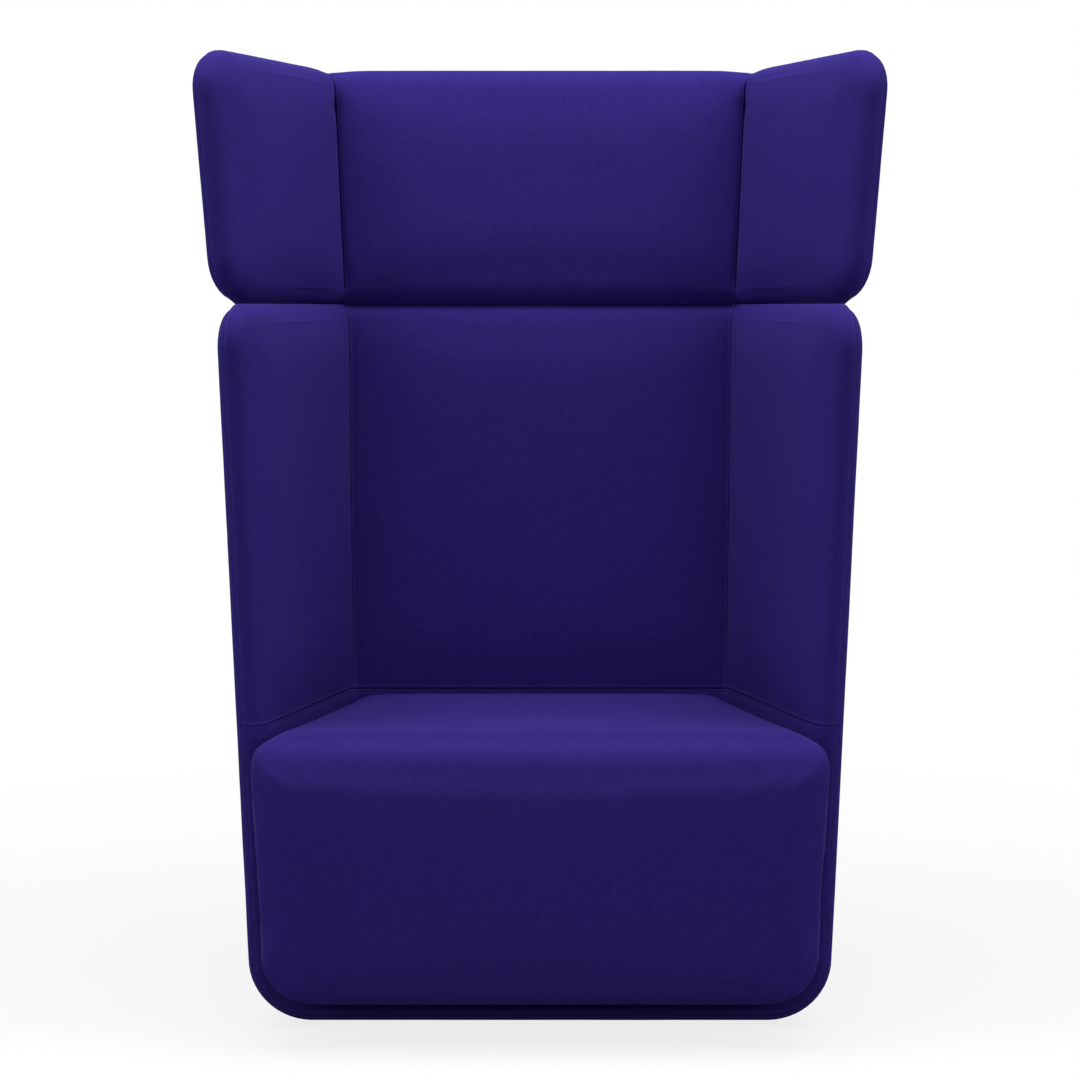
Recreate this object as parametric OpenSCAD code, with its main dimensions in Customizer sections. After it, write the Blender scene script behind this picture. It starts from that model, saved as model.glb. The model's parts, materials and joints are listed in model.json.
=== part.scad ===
// Acoustic high back lounge chair: a felt covered tub, a deep seat block and a lift-off winged headrest.
// Millimetres, Z up, the chair faces minus Y, origin on the floor under the middle of the chair.

/* [Tub] */
// Height of the top edge of the tub above the floor
tub_top_h = 1022; // [940:1:1100]
// Outer width at floor level, across the front edge
tub_floor_w = 831; // [780:1:900]
// Depth inside the tub at floor level, from the front edge to the back
tub_floor_depth = 374; // [350:1:430]
// Thickness of the padded walls
wall_t = 46; // [46:1:56]
// Plan angle by which each side closes in towards the back
side_taper = 12; // [8:0.5:14]
// Angle by which each side leans outwards
side_flare = 3; // [1:0.25:4.5]
// Angle by which the back leans backwards
back_lean = 9.3; // [6:0.1:12]
// Angle by which the front edge of the sides leans backwards
front_lean = 2.3; // [0:0.1:4]
// Radius of the front top corner of the sides, seen from the side
tub_corner_r = 66; // [50:1:90]
// Outer radius where the walls turn under into the floor
bend_r = 89; // [80:1:100]
// Outer radius of the upright rear corners
rear_corner_r = 58; // [57:1:75]
// Outer radius of the rear corners where the walls turn under
low_corner_r = 122; // [115:1:135]

/* [Seat] */
// Height of the seat at its front edge
seat_h = 426; // [395:1:450]
// Angle by which the seat falls towards the back
seat_fall = 1.7; // [0:0.1:3]
// How far the seat block stands out in front of the tub
seat_overhang = 85; // [40:1:110]
// Room between the seat block and the tub
seat_gap = 2; // [1:0.5:4]
// Radius of the lower corners of the seat block, seen from the front
seat_low_r = 70; // [60:1:80]
// Radius of the rolled top edge of the seat block
seat_roll_r = 34; // [26:1:42]
// Radius of the upright edges of the seat block
seat_edge_r = 14; // [12:1:20]
// Rise of the seat top in its middle
seat_crown = 7; // [2:0.5:12]
// Swell of the front face of the seat block
seat_swell = 4; // [1:0.5:8]
// Height of the foam above the springs
seat_foam_h = 112; // [90:1:130]
// Height of the sewn seam of the tub above the front edge of the seat
seam_rise = 7; // [4:1:12]

/* [Headrest] */
// Height of the headrest
head_h = 374.8; // [330:0.1:420]
// Open joint between the tub and the headrest
head_gap = 1.2; // [1:0.1:3]
// Outer width across the wings at their lower front corners
head_w = 986; // [940:1:1030]
// Distance of the wing tips behind the front edge of the tub at the floor
wing_setback = 204; // [170:1:240]
// Plan angle by which each wing opens
wing_splay = 21.4; // [16:0.1:25]
// Angle by which each wing leans outwards
wing_flare = 6.7; // [3:0.1:8]
// Angle by which the wing tips lean backwards
wing_lean = 4.6; // [2:0.1:6]
// Radius of the front corners of the wings, seen from the side
wing_corner_r = 66; // [50:1:90]
// How far the headrest lifts out of its sockets
head_travel = 140; // [120:1:160]

/* [Upholstery] */
// Thickness of the wool felt covers
felt_t = 2.5; // [2:0.1:3.5]
// Thickness of the foam under the covers
foam_t = 10.8; // [9:0.1:11]
// Swell of the padded faces in their middle
face_crown = 4; // [1:0.5:8]
// Thickness of the plywood inside the walls
ply_t = 18; // [15:0.5:18]

/* [Frame] */
// Diameter of the bent steel bar round the rim
bar_d = 16; // [12:0.5:16.5]
// Diameter of the headrest pins
pin_d = 10; // [8:0.5:11]
// Distance between the two headrest pins
pin_spacing = 300; // [240:1:380]
// Length of the pins below the headrest rail
pin_reach = 118; // [100:1:135]
// Thickness of the base board
base_t = 35; // [30:1:38]
// Height of the glides under the base
glide_h = 8; // [5:1:12]
// Diameter of the glides
glide_d = 40; // [30:1:50]
// Thickness of the plywood walls of the seat box
box_t = 15; // [12:0.5:18]
// Diameter of the spring wire
wire_d = 3.8; // [3:0.1:4.2]
// Diameter of the bolts that hold the seat block
bolt_d = 8; // [6:1:10]

/* [Hidden] */

felt_colour = "#2A1E66";
foam_colour = "#D9C7A0";
ply_colour = "#C9A36B";
steel_colour = "#8A8F94";
black_colour = "#1E1E20";

// Room between neighbouring layers and pieces
fit = 0.3;
// Overrun of a cut past the face that it opens
over = 2;
// Steps along round corners and flat stretches of the walls
edge_steps = 3;
wall_steps = 2;
low_steps = 1;
bend_steps = 3;
side_steps = 3;
arc_steps = 4;
back_steps = 1;
bar_sides = 6;
wire_sides = 4;
round_fn = 20;
small_fn = 14;
// Where the columns of a side stand between its front edge and its rear corner
side_shares = [0, 0.14, 0.57, 1];

// Turn round the edge of a wall at which the covers meet, and steps of the inner cover to it
seam_turn = 60;
nose_steps = 3;
// Thin black cloth under the seat and the base, and how far it stays inside its opening
dust_t = 0.8;
dust_edge = 8;
// Wall and floor of the pin sockets, wall of their lining and thickness of its flange
socket_wall = 2.2;
socket_floor = 5;
ferrule_wall = 1.4;
flange_d = 17;
flange_t = 1.5;
// Glide screws
glide_edge_share = 0.25;
screw_d = 5;
screw_head_d = 10;
screw_head_h = 3;
screw_recess = 2;
screw_reach = 22;
glide_inset = 30;
// Bolts of the seat block
bolt_spacing = 300;
bolt_recess = 10;
bolt_reach = 30;
head_share = 1.6;
head_height_share = 0.65;
socket_share = 0.7;
pin_edge_share = 0.15;
// Boards inside the seat block
bulkhead_t = 22;
bulkhead_h = 225;
board_setback = 34;
board_rear_room = 22;
// Foam beside and in front of the spring box, least corner radius, lower margin of the cover
seat_side_foam = 16;
seat_front_foam = 32;
seat_rear_foam = 50;
least_r = 2;
turn_under = 28;
// Springs and their clips
springs = 4;
spring_spacing = 115;
spring_w = 50;
spring_room = 14;
clip_t = 2;
clip_w = 16;

turn = 360;
quarter = 90;
half_turn = 180;
up = [0, 0, 1];

half_t = wall_t / 2;
bar_r = bar_d / 2;
head_top_h = tub_top_h + head_gap + head_h;
// Half thickness of the wall at the felt, at both faces of the foam and at the plywood
foam_half = half_t - felt_t - fit;
core_half = foam_half - foam_t;
ply_half = min(ply_t / 2, core_half - fit / 2);

tub_mid_h = tub_top_h - half_t;
tub_edge_r = tub_corner_r - half_t;
bend_mid_r = bend_r - half_t;
bend_h = glide_h + bend_r;
seam_h = seat_h + seam_rise;
mid_col = side_steps + arc_steps + back_steps;
last_col = 2 * mid_col;
arc_col = side_steps + arc_steps;
corner_col = side_steps + arc_steps / 2;
seam_row = edge_steps + wall_steps;
bend_row = seam_row + low_steps;
floor_row = bend_row + bend_steps;

// The whole chair is shifted so that the origin lies under the middle of its depth
depth_back = tub_floor_depth + wall_t + tan(back_lean) * (head_top_h - half_t);
depth_front = seat_overhang + seat_swell;
shift_y = (depth_front - depth_back) / 2;

function lerp(a, b, s) = a + (b - a) * s;
function mirror_x(p) = [-p[0], p[1], p[2]];

// A point of a wall in plan, on its middle line, with the direction of its outer side.
// half_w is the half width at y zero, back_y the place of the back, r the corner radius.
function plan_left(half_w, taper, back_y, r, start_y, j) =
    let (centre_y = back_y - r)
    let (centre_x = -(half_w - tan(taper) * centre_y) + r / cos(taper))
    let (arc_y = centre_y + r * sin(taper))
    j <= side_steps
        ? let (y = lerp(start_y, arc_y, side_shares[j]))
          [-(half_w - tan(taper) * y), y, half_turn - taper]
        : j <= arc_col
            ? let (a = lerp(half_turn - taper, quarter, (j - side_steps) / arc_steps))
              [centre_x + r * cos(a), centre_y + r * sin(a), a]
            : [centre_x * (1 - (j - arc_col) / back_steps), back_y, quarter];
function plan_point(half_w, taper, back_y, r, start_y, j) =
    j <= mid_col
        ? plan_left(half_w, taper, back_y, r, start_y, j)
        : let (p = plan_left(half_w, taper, back_y, r, start_y, last_col - j))
          [-p[0], p[1], half_turn - p[2]];

// Direction in which the open edge of a wall faces: to the front, turning up or down by a
function edge_way(taper, a, j) =
    let (side = j < mid_col ? -1 : 1)
    [side * sin(taper) * cos(a), -cos(taper) * cos(a), sin(a)];

// Swell of a face: none at its borders, one in its middle
function swell_side(j) = j <= side_steps ? sin(half_turn * side_shares[j]) : 0;
function swell_back(j) = sin(half_turn * (j - arc_col) / (2 * back_steps));
function swell_col(j) =
    j < arc_col ? swell_side(j) : j <= last_col - arc_col ? swell_back(j) : swell_side(last_col - j);

// Rows of the tub from its top edge to its floor: height, setback of the edge, way of the edge, bend
tub_arc_h = tub_mid_h - tub_edge_r;
tub_rows = concat(
    [for (k = [0:edge_steps]) let (a = quarter * (1 - k / edge_steps))
        [tub_arc_h + tub_edge_r * sin(a), tub_edge_r * (1 - cos(a)), a, 0]],
    [for (k = [1:wall_steps]) [lerp(tub_arc_h, seam_h, k / wall_steps), 0, 0, 0]],
    [for (k = [1:low_steps]) [lerp(seam_h, bend_h, k / low_steps), 0, 0, 0]],
    [for (k = [1:bend_steps]) [bend_h, 0, 0, quarter * k / bend_steps]]);

function tub_half_w(z) = tub_floor_w / 2 + tan(side_flare) * z;
function back_inner_y(z) = tub_floor_depth + tan(back_lean) * z;
function rear_corner(z) =
    z >= seam_h ? rear_corner_r : lerp(low_corner_r, rear_corner_r, (z - bend_h) / (seam_h - bend_h));
function tub_plan(z, inset, setback, j) =
    plan_point(tub_half_w(z) - (half_t + inset) / cos(side_taper), side_taper,
               back_inner_y(z) + half_t - inset, rear_corner(z) - half_t - inset,
               tan(front_lean) * z + half_t + setback, j);

// A cell of a wall is its middle point, its way inwards, the way of its edge and its swell
function tub_cell(i, j) =
    let (row = tub_rows[i])
    let (fall = i == seam_row ? tan(seat_fall) * tub_plan(row[0], 0, row[1], j)[1] : 0)
    let (z = row[0] - fall)
    let (bend = row[3])
    let (p = tub_plan(z, bend_mid_r * (1 - cos(bend)), row[1], j))
    let (way = i == 0 ? up : edge_way(side_taper, row[2], j))
    [[p[0], p[1], z - bend_mid_r * sin(bend)],
     [-cos(p[2]) * cos(bend), -sin(p[2]) * cos(bend), sin(bend)],
     way,
     i < seam_row ? sin(half_turn * (tub_mid_h - z) / (tub_mid_h - seam_h)) * swell_col(j) : 0];
tub_grid = [for (i = [0:floor_row]) [for (j = [0:last_col]) tub_cell(i, j)]];

// Rows of the headrest from its top edge to its lower edge
head_mid_top = head_top_h - half_t;
head_mid_low = tub_top_h + head_gap + half_t;
wing_edge_r = wing_corner_r - half_t;
head_wall_steps = 2;
head_last = 2 * edge_steps + head_wall_steps;
head_low_arc = edge_steps + head_wall_steps;
head_rows = concat(
    [for (k = [0:edge_steps]) let (a = quarter * (1 - k / edge_steps))
        [head_mid_top - wing_edge_r * (1 - sin(a)), wing_edge_r * (1 - cos(a)), a]],
    [for (k = [1:head_wall_steps])
        [lerp(head_mid_top - wing_edge_r, head_mid_low + wing_edge_r, k / head_wall_steps), 0, 0]],
    [for (k = [1:edge_steps]) let (a = quarter * k / edge_steps)
        [head_mid_low + wing_edge_r * (1 - sin(a)), wing_edge_r * (1 - cos(a)), -a]]);

head_low_h = tub_top_h + head_gap;
wing_half_w = head_w / 2 + tan(wing_splay) * wing_setback;
function head_half_w(z) = wing_half_w + tan(wing_flare) * (z - head_low_h);
function head_plan(z, setback, j) =
    plan_point(head_half_w(z) - half_t / cos(wing_splay), wing_splay,
               back_inner_y(z) + half_t, rear_corner_r - half_t,
               wing_setback + tan(wing_lean) * (z - head_low_h) + half_t + setback, j);
function head_cell(i, j) =
    let (row = head_rows[i])
    let (z = row[0])
    let (p = head_plan(z, row[1], j))
    let (way = i == 0 ? up : i == head_last ? -up : edge_way(wing_splay, row[2], j))
    [[p[0], p[1], z],
     [-cos(p[2]), -sin(p[2]), 0],
     way,
     sin(half_turn * (head_mid_top - z) / (head_mid_top - head_mid_low)) * swell_col(j)];
head_grid = [for (i = [0:head_last]) [for (j = [0:last_col]) head_cell(i, j)]];

// Lists of cells along the borders of a block of a wall, walked up the left, along the top,
// down the right and back along the bottom
function left_up(i0, i1, j) = [for (i = [i1:-1:i0]) [i, j]];
function right_along(i, j0, j1) = [for (j = [j0:1:j1]) [i, j]];
function right_down(i0, i1, j) = [for (i = [i0:1:i1]) [i, j]];
function left_along(i, j0, j1) = [for (j = [j1:-1:j0]) [i, j]];
function tail(list) = [for (k = [1:1:len(list) - 1]) list[k]];
function trunk(list) = [for (k = [0:1:len(list) - 2]) list[k]];

// Angles round the edge of a wall, from its outer face: the outer cover runs round to the seam and
// the inner cover comes back to it from the inner face. The foams meet nearer to the outer face.
outer_nose = [seam_turn / 2, seam_turn];
inner_nose = [for (k = [1:nose_steps]) lerp(half_turn, seam_turn, k / nose_steps)];

// Triangles of a block of a wall, seen from its outer side in counterclockwise order. The diagonals
// of the right half mirror those of the left half.
function quad(a, b, c, d, right = false) = right ? [[a, b, d], [b, c, d]] : [[a, b, c], [a, c, d]];
function block_faces(rows, cols, j0) = [
    for (i = [0:rows - 2]) for (j = [0:cols - 2])
        for (t = quad(i * cols + j, i * cols + j + 1, (i + 1) * cols + j + 1, (i + 1) * cols + j,
                      j0 + j >= mid_col)) t];
function nose_id(face_ids, count, steps, p, k) = k == 0 ? face_ids[p] : count + p * steps + k - 1;
function nose_faces(face_ids, count, steps, closed, cols, j0) =
    let (n = len(face_ids))
    [for (p = [0:n - (closed ? 1 : 2)]) let (q = (p + 1) % n) for (k = [0:steps - 1])
        for (t = quad(nose_id(face_ids, count, steps, q, k), nose_id(face_ids, count, steps, p, k),
                      nose_id(face_ids, count, steps, p, k + 1),
                      nose_id(face_ids, count, steps, q, k + 1),
                      j0 + min(face_ids[p] % cols, face_ids[q] % cols) >= mid_col)) t];
function rim_faces(loop, n) = [
    for (k = [0:len(loop) - 1]) let (u = loop[k]) let (v = loop[(k + 1) % len(loop)])
        for (t = quad(v, u, u + n, v + n)) t];
function flipped(faces) = [for (f = faces) [f[2], f[1], f[0]]];

// One layer of a wall: side is -1 for the outer layer and 1 for the inner one
function layer_points(grid, i0, i1, j0, j1, run, angles, side, half, crown) = concat(
    [for (i = [i0:i1]) for (j = [j0:j1])
        grid[i][j][0] + side * (half + crown * grid[i][j][3]) * grid[i][j][1]],
    [for (c = run) for (a = angles)
        grid[c[0]][c[1]][0] - half * cos(a) * grid[c[0]][c[1]][1] + half * sin(a) * grid[c[0]][c[1]][2]]);

// A padded or covered piece of a wall. Each run is a list of cells where the piece wraps round the
// edge, with the cells of the plain border that follows it. A cover swells on both of its faces,
// a foam only on its outer one. strip adds the flat strip along the front of the floor.
module wall_piece(grid, i0, i1, j0, j1, runs, side, half, half_in, crown, strip = false) {
    felt = half_in > core_half;
    crown_in = felt ? crown : 0;
    closed = len(runs) == 1 && len(runs[0][1]) == 0;
    angles = side < 0
        ? felt ? outer_nose : [outer_nose[0]]
        : felt ? inner_nose : concat(inner_nose, [outer_nose[0]]);
    steps = len(angles);
    cols = j1 - j0 + 1;
    starts = [for (r = [0:len(runs) - 1])
        (i1 - i0 + 1) * cols + (r == 0 ? 0 : len(runs[0][0]) * steps)];
    face_ids = [for (run = runs) [for (c = run[0]) (c[0] - i0) * cols + c[1] - j0]];
    free_ids = [for (run = runs) [for (c = run[1]) (c[0] - i0) * cols + c[1] - j0]];
    floor_id = (i1 - i0) * cols;
    wraps = [for (run = runs) each run[0]];
    near = layer_points(grid, i0, i1, j0, j1, wraps, angles, side, half, crown);
    far = layer_points(grid, i0, i1, j0, j1, wraps, angles, side, half_in, crown_in);
    n = len(near);
    sheet = concat(
        block_faces(i1 - i0 + 1, cols, j0),
        [for (r = [0:len(runs) - 1]) each nose_faces(face_ids[r], starts[r], steps, closed, cols, j0)],
        strip ? quad(floor_id, floor_id + 1, floor_id + cols - 2, floor_id + cols - 1) : []);
    edge = [for (r = [0:len(runs) - 1]) let (last = len(runs[r][0]) - 1) each concat(
        closed ? [] : [for (k = [0:steps - 1]) nose_id(face_ids[r], starts[r], steps, 0, k)],
        [for (p = [0:last]) nose_id(face_ids[r], starts[r], steps, p, steps)],
        closed ? [] : [for (k = [steps - 1:-1:0]) nose_id(face_ids[r], starts[r], steps, last, k)],
        free_ids[r])];
    opening = [for (j = [cols - 2:-1:1]) floor_id + j];
    skin = concat(
        sheet,
        [for (f = flipped(sheet)) f + [n, n, n]],
        rim_faces(edge, n),
        strip ? rim_faces(opening, n) : []);
    polyhedron(points = concat(near, far), faces = side < 0 ? flipped(skin) : skin);
}

// Middle point of a wall where a board ends beside the bar along its top or lower edge, on the way
// from row i to row k
function cut_point(grid, i, k, j) =
    let (a = grid[i][j][0]) let (b = grid[k][j][0]) lerp(a, b, (bar_r + fit) / abs(a[2] - b[2]));

// Way of the front edge of a board, within the plane of a side that leans outwards by flare
function board_way(cell, flare, j) =
    cell[2] + [(j < mid_col ? -1 : 1) * tan(flare) * cell[2][2], 0, 0];

// A plywood board or post in the middle of a wall, through a list of rows, kept clear of the bar
// along the rim
module core_piece(grid, board_rows, j0, j1, half, flare, top = false, front = false, low = false) {
    cols = j1 - j0 + 1;
    rows = len(board_rows);
    middles = [for (k = [0:rows - 1]) for (j = [j0:j1])
        let (i = board_rows[k])
        front && (j == 0 || j == last_col)
            ? grid[i][j][0] - (bar_r + fit) * board_way(grid[i][j], flare, j)
            : top && k == 0
                ? cut_point(grid, i, board_rows[1], j)
                : low && k == rows - 1 ? cut_point(grid, i, board_rows[k - 1], j) : grid[i][j][0]];
    ways = [for (i = board_rows) for (j = [j0:j1]) grid[i][j][1]];
    n = len(middles);
    sheet = block_faces(rows, cols, j0);
    edge = concat(
        [for (i = [rows - 1:-1:0]) i * cols],
        [for (j = [1:1:cols - 1]) j],
        [for (i = [1:1:rows - 1]) i * cols + cols - 1],
        [for (j = [cols - 2:-1:1]) (rows - 1) * cols + j]);
    polyhedron(
        points = concat([for (k = [0:n - 1]) middles[k] - half * ways[k]],
                        [for (k = [0:n - 1]) middles[k] + half * ways[k]]),
        faces = flipped(concat(sheet, [for (f = flipped(sheet)) f + [n, n, n]], rim_faces(edge, n))));
}

// A round bar or wire bent along cells
module bent_bar(cells, r, sides) {
    n = len(cells);
    points = [for (c = cells) for (k = [0:sides - 1]) let (a = turn * k / sides)
        c[0] + r * cos(a) * c[1] + r * sin(a) * c[2]];
    hull_faces = [for (p = [0:n - 2]) for (k = [0:sides - 1]) let (m = (k + 1) % sides)
        for (t = quad(p * sides + k, p * sides + m, (p + 1) * sides + m, (p + 1) * sides + k)) t];
    cap = [for (k = [1:sides - 2]) [0, k, k + 1]];
    end = (n - 1) * sides;
    polyhedron(points = points,
               faces = concat(hull_faces, flipped(cap), [for (f = cap) f + [end, end, end]]));
}

function cells_of(grid, list) = [for (c = list) grid[c[0]][c[1]]];
module placed() {
    translate([0, shift_y, 0]) children();
}

// Pieces of the tub wall
far_corner = last_col - corner_col;
module tub_outer(half, half_in) {
    rim = concat(left_up(0, floor_row, 0), tail(right_along(0, 0, last_col)),
                 tail(right_down(0, floor_row, last_col)));
    wall_piece(tub_grid, 0, floor_row, 0, last_col, [[rim, []]], -1, half, half_in, face_crown, true);
}
module tub_side(half, half_in) {
    rim = concat(left_up(0, seam_row, 0), tail(right_along(0, 0, corner_col)));
    rest = concat(tail(right_down(0, seam_row, corner_col)),
                  tail(trunk(left_along(seam_row, 0, corner_col))));
    wall_piece(tub_grid, 0, seam_row, 0, corner_col, [[rim, rest]], 1, half, half_in, face_crown);
}
module tub_back(half, half_in) {
    rest = concat(tail(right_down(0, seam_row, far_corner)),
                  tail(left_along(seam_row, corner_col, far_corner)),
                  tail(trunk(left_up(0, seam_row, corner_col))));
    wall_piece(tub_grid, 0, seam_row, corner_col, far_corner,
               [[right_along(0, corner_col, far_corner), rest]], 1, half, half_in, face_crown);
}
module tub_lower(half, half_in) {
    rim = concat(right_down(seam_row, floor_row, last_col), left_up(seam_row, floor_row, 0));
    wall_piece(tub_grid, seam_row, floor_row, 0, last_col,
               [[rim, tail(trunk(right_along(seam_row, 0, last_col)))]],
               1, half, half_in, 0, true);
}

// Pieces of the headrest wall
module head_closed(side, half, half_in) {
    rim = concat(left_up(0, head_last, 0), tail(right_along(0, 0, last_col)),
                 tail(right_down(0, head_last, last_col)),
                 tail(trunk(left_along(head_last, 0, last_col))));
    wall_piece(head_grid, 0, head_last, 0, last_col, [[rim, []]], side, half, half_in, face_crown);
}
module head_wing(half, half_in) {
    rim = concat(left_along(head_last, 0, corner_col), tail(left_up(0, head_last, 0)),
                 tail(right_along(0, 0, corner_col)));
    wall_piece(head_grid, 0, head_last, 0, corner_col,
               [[rim, tail(trunk(right_down(0, head_last, corner_col)))]],
               1, half, half_in, face_crown);
}
module head_centre(half, half_in) {
    wall_piece(head_grid, 0, head_last, corner_col, far_corner,
               [[right_along(0, corner_col, far_corner),
                 tail(trunk(right_down(0, head_last, far_corner)))],
                [left_along(head_last, corner_col, far_corner),
                 tail(trunk(left_up(0, head_last, corner_col)))]],
               1, half, half_in, face_crown);
}

// Places of the headrest pins and their sockets, along the lean of the back
tub_rail = tub_grid[0][mid_col][0];
head_rail_place = head_grid[head_last][mid_col][0];
pin_depth = pin_reach - norm(head_rail_place - tub_rail);
socket_d = pin_d + socket_wall * 2;
socket_depth = pin_depth + fit + socket_floor;
bore_d = pin_d + 2 * fit;
ferrule_d = bore_d + ferrule_wall * 2;
module at_pins(rail) {
    for (side = [-1, 1])
        translate([side * pin_spacing / 2, rail[1], rail[2]])
            rotate([-back_lean, 0, 0]) children();
}
module pin_holes(rail, d) {
    at_pins(rail) cylinder(h = wall_t, d = d, $fn = small_fn);
}
module pin_holes_below(rail, d) {
    at_pins(rail) translate([0, 0, -wall_t]) cylinder(h = wall_t, d = d, $fn = small_fn);
}

module outer_cover() {
    color(felt_colour) placed() tub_outer(half_t, half_t - felt_t);
}
module inner_cover_left() {
    color(felt_colour) placed() tub_side(half_t, half_t - felt_t);
}
module inner_cover_right() {
    mirror([1, 0, 0]) inner_cover_left();
}
module inner_cover_back() {
    color(felt_colour) placed() difference() {
        tub_back(half_t, half_t - felt_t);
        pin_holes(tub_rail, flange_d + 2 * fit);
    }
}
module lower_lining() {
    color(felt_colour) placed() tub_lower(half_t, half_t - felt_t);
}
module outer_foam() {
    color(foam_colour) placed() tub_outer(foam_half, core_half);
}
module side_foam_left() {
    color(foam_colour) placed() tub_side(foam_half, core_half);
}
module side_foam_right() {
    mirror([1, 0, 0]) side_foam_left();
}
module back_foam() {
    color(foam_colour) placed() difference() {
        tub_back(foam_half, core_half);
        pin_holes(tub_rail, ferrule_d + 2 * fit);
    }
}
module lower_foam() {
    color(foam_colour) placed() tub_lower(foam_half, core_half);
}

// Steel bar round the rim of the tub, open along the back where the top rail closes it
module rim_frame() {
    cells = concat(right_along(0, last_col - arc_col, last_col),
                   tail(right_down(0, floor_row, last_col)),
                   left_up(0, floor_row, 0), tail(right_along(0, 0, arc_col)));
    color(steel_colour) placed() bent_bar(cells_of(tub_grid, cells), bar_r, bar_sides);
}
rail_half = -tub_grid[0][arc_col][0][0] - fit;
module top_rail() {
    color(steel_colour) placed() difference() {
        union() {
            translate([-rail_half, tub_rail[1], tub_rail[2]]) rotate([0, quarter, 0])
                cylinder(h = 2 * rail_half, d = bar_d, $fn = round_fn);
            at_pins(tub_rail) translate([0, 0, -socket_depth])
                cylinder(h = socket_depth, d = socket_d, $fn = round_fn);
        }
        at_pins(tub_rail) translate([0, 0, socket_floor - socket_depth])
            cylinder(h = socket_depth + bar_d, d = bore_d, $fn = round_fn);
    }
}
post_rows = concat([0], [for (i = [2:bend_row]) i]);
module corner_posts() {
    color(ply_colour) placed() {
        core_piece(tub_grid, post_rows, side_steps, arc_col, ply_half, side_flare, top = true);
        core_piece(tub_grid, post_rows, last_col - arc_col, last_col - side_steps, ply_half,
                   side_flare, top = true);
    }
}
// Plane of the left side: ways along it, up it and through it
side_along = [sin(side_taper), cos(side_taper), 0];
side_rise = [-tan(side_flare), 0, 1] + tan(side_flare) * sin(side_taper) * side_along;
side_up = side_rise / norm(side_rise);
side_through = cross(side_along, side_up);
side_origin = tub_grid[bend_row][0][0];
function on_side(p) = let (d = p - side_origin) [d * side_along, d * side_up];
module side_panel_left() {
    clear = bar_r + fit;
    front = [for (i = [bend_row:-1:1]) let (c = tub_grid[i][0]) on_side(c[0] - clear * c[2])];
    rear = [for (i = [2:bend_row]) on_side(tub_grid[i][side_steps][0] - fit * side_along)];
    last = len(rear) - 1;
    lift = [0, 2 * fit];
    top = [on_side(tub_grid[0][0][0] - clear * up),
           on_side(cut_point(tub_grid, 0, 2, side_steps) - fit * side_along)];
    outline = concat([front[0] + lift], tail(front), top,
                     trunk(rear), [rear[last] + lift]);
    a = side_along;
    b = side_up;
    c = side_through;
    o = side_origin;
    color(ply_colour) placed()
        multmatrix([[a[0], b[0], c[0], o[0]], [a[1], b[1], c[1], o[1]], [a[2], b[2], c[2], o[2]]])
            linear_extrude(height = 2 * ply_half * cos(side_flare), center = true) polygon(outline);
}
module side_panel_right() {
    mirror([1, 0, 0]) side_panel_left();
}
slot_w = socket_d + 2 * fit;
function back_edge(c, side) = [side * (c[0] + fit), (c[2] - tub_rail[2]) / cos(back_lean)];
module back_panel() {
    lift = ply_half * sin(back_lean) + fit;
    edge = concat([cut_point(tub_grid, 0, 2, arc_col)],
                  [for (i = [2:bend_row - 1]) tub_grid[i][arc_col][0]],
                  [tub_grid[bend_row][arc_col][0] + lift * up]);
    outline = concat([for (c = edge) back_edge(c, 1)],
                     [for (k = [len(edge) - 1:-1:0]) back_edge(edge[k], -1)]);
    color(ply_colour) placed() translate([0, tub_rail[1], tub_rail[2]])
        rotate([quarter - back_lean, 0, 0])
            linear_extrude(height = 2 * ply_half * cos(back_lean), center = true) difference() {
                polygon(outline);
                for (side = [-1, 1])
                    translate([side * pin_spacing / 2 - slot_w / 2, -socket_depth - fit])
                        square([slot_w, socket_depth]);
            }
}

// Columns between which a bent knee joins the walls to the floor
knee_cols = [[1, 2], [arc_col, last_col - arc_col], [last_col - 2, last_col - 1]];
module base_knees() {
    color(ply_colour) placed()
        for (c = knee_cols)
            core_piece(tub_grid, [for (i = [bend_row:floor_row]) i], c[0], c[1], ply_half,
                       side_flare);
}

// The base board fills the opening under the floor, with a tongue that reaches the bar in front
board_low = glide_h + dust_t;
board_top = board_low + base_t;
floor_front = tub_grid[floor_row][1][0];
floor_front_y = floor_front[1] + fit;
function floor_point(j, inset) =
    let (p = tub_plan(bend_h, bend_mid_r + inset, 0, j))
    [p[0], max(p[1], floor_front[1] + inset)];
function floor_outline(inset) = [for (j = [1:last_col - 1]) floor_point(j, inset)];
module base_tongue() {
    inner = floor_point(1, fit);
    outer = tub_plan(bend_h, bend_mid_r + bar_r + fit, 0, 0);
    front_y = tub_grid[floor_row][0][0][1] + bar_r + fit;
    polygon([[outer[0], front_y], [inner[0], inner[1] + over],
             [-inner[0], inner[1] + over], [-outer[0], front_y]]);
}

// Places of the glides and of the bolts of the seat block
floor_rear = tub_grid[floor_row][arc_col][0];
glide_places = [for (y = [floor_front_y + glide_inset, floor_rear[1] - glide_inset])
    for (side = [-1, 1]) let (free = floor_half_w(y) - glide_inset) [side * free, y]];
function floor_half_w(y) = -tub_plan(bend_h, bend_mid_r, 0, 0)[0]
    - tan(side_taper) * (y - tub_plan(bend_h, bend_mid_r, 0, 0)[1]);
rear_board_y = tub_floor_depth - seat_gap - seat_low_r - turn_under - board_rear_room - bulkhead_t / 2;
board_ys = [floor_front_y + board_setback, rear_board_y];
bolt_places = [for (y = board_ys) for (side = [-1, 1]) [side * bolt_spacing / 2, y]];
bolt_head_d = bolt_d * head_share;
bolt_head_h = bolt_d * head_height_share;

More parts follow.
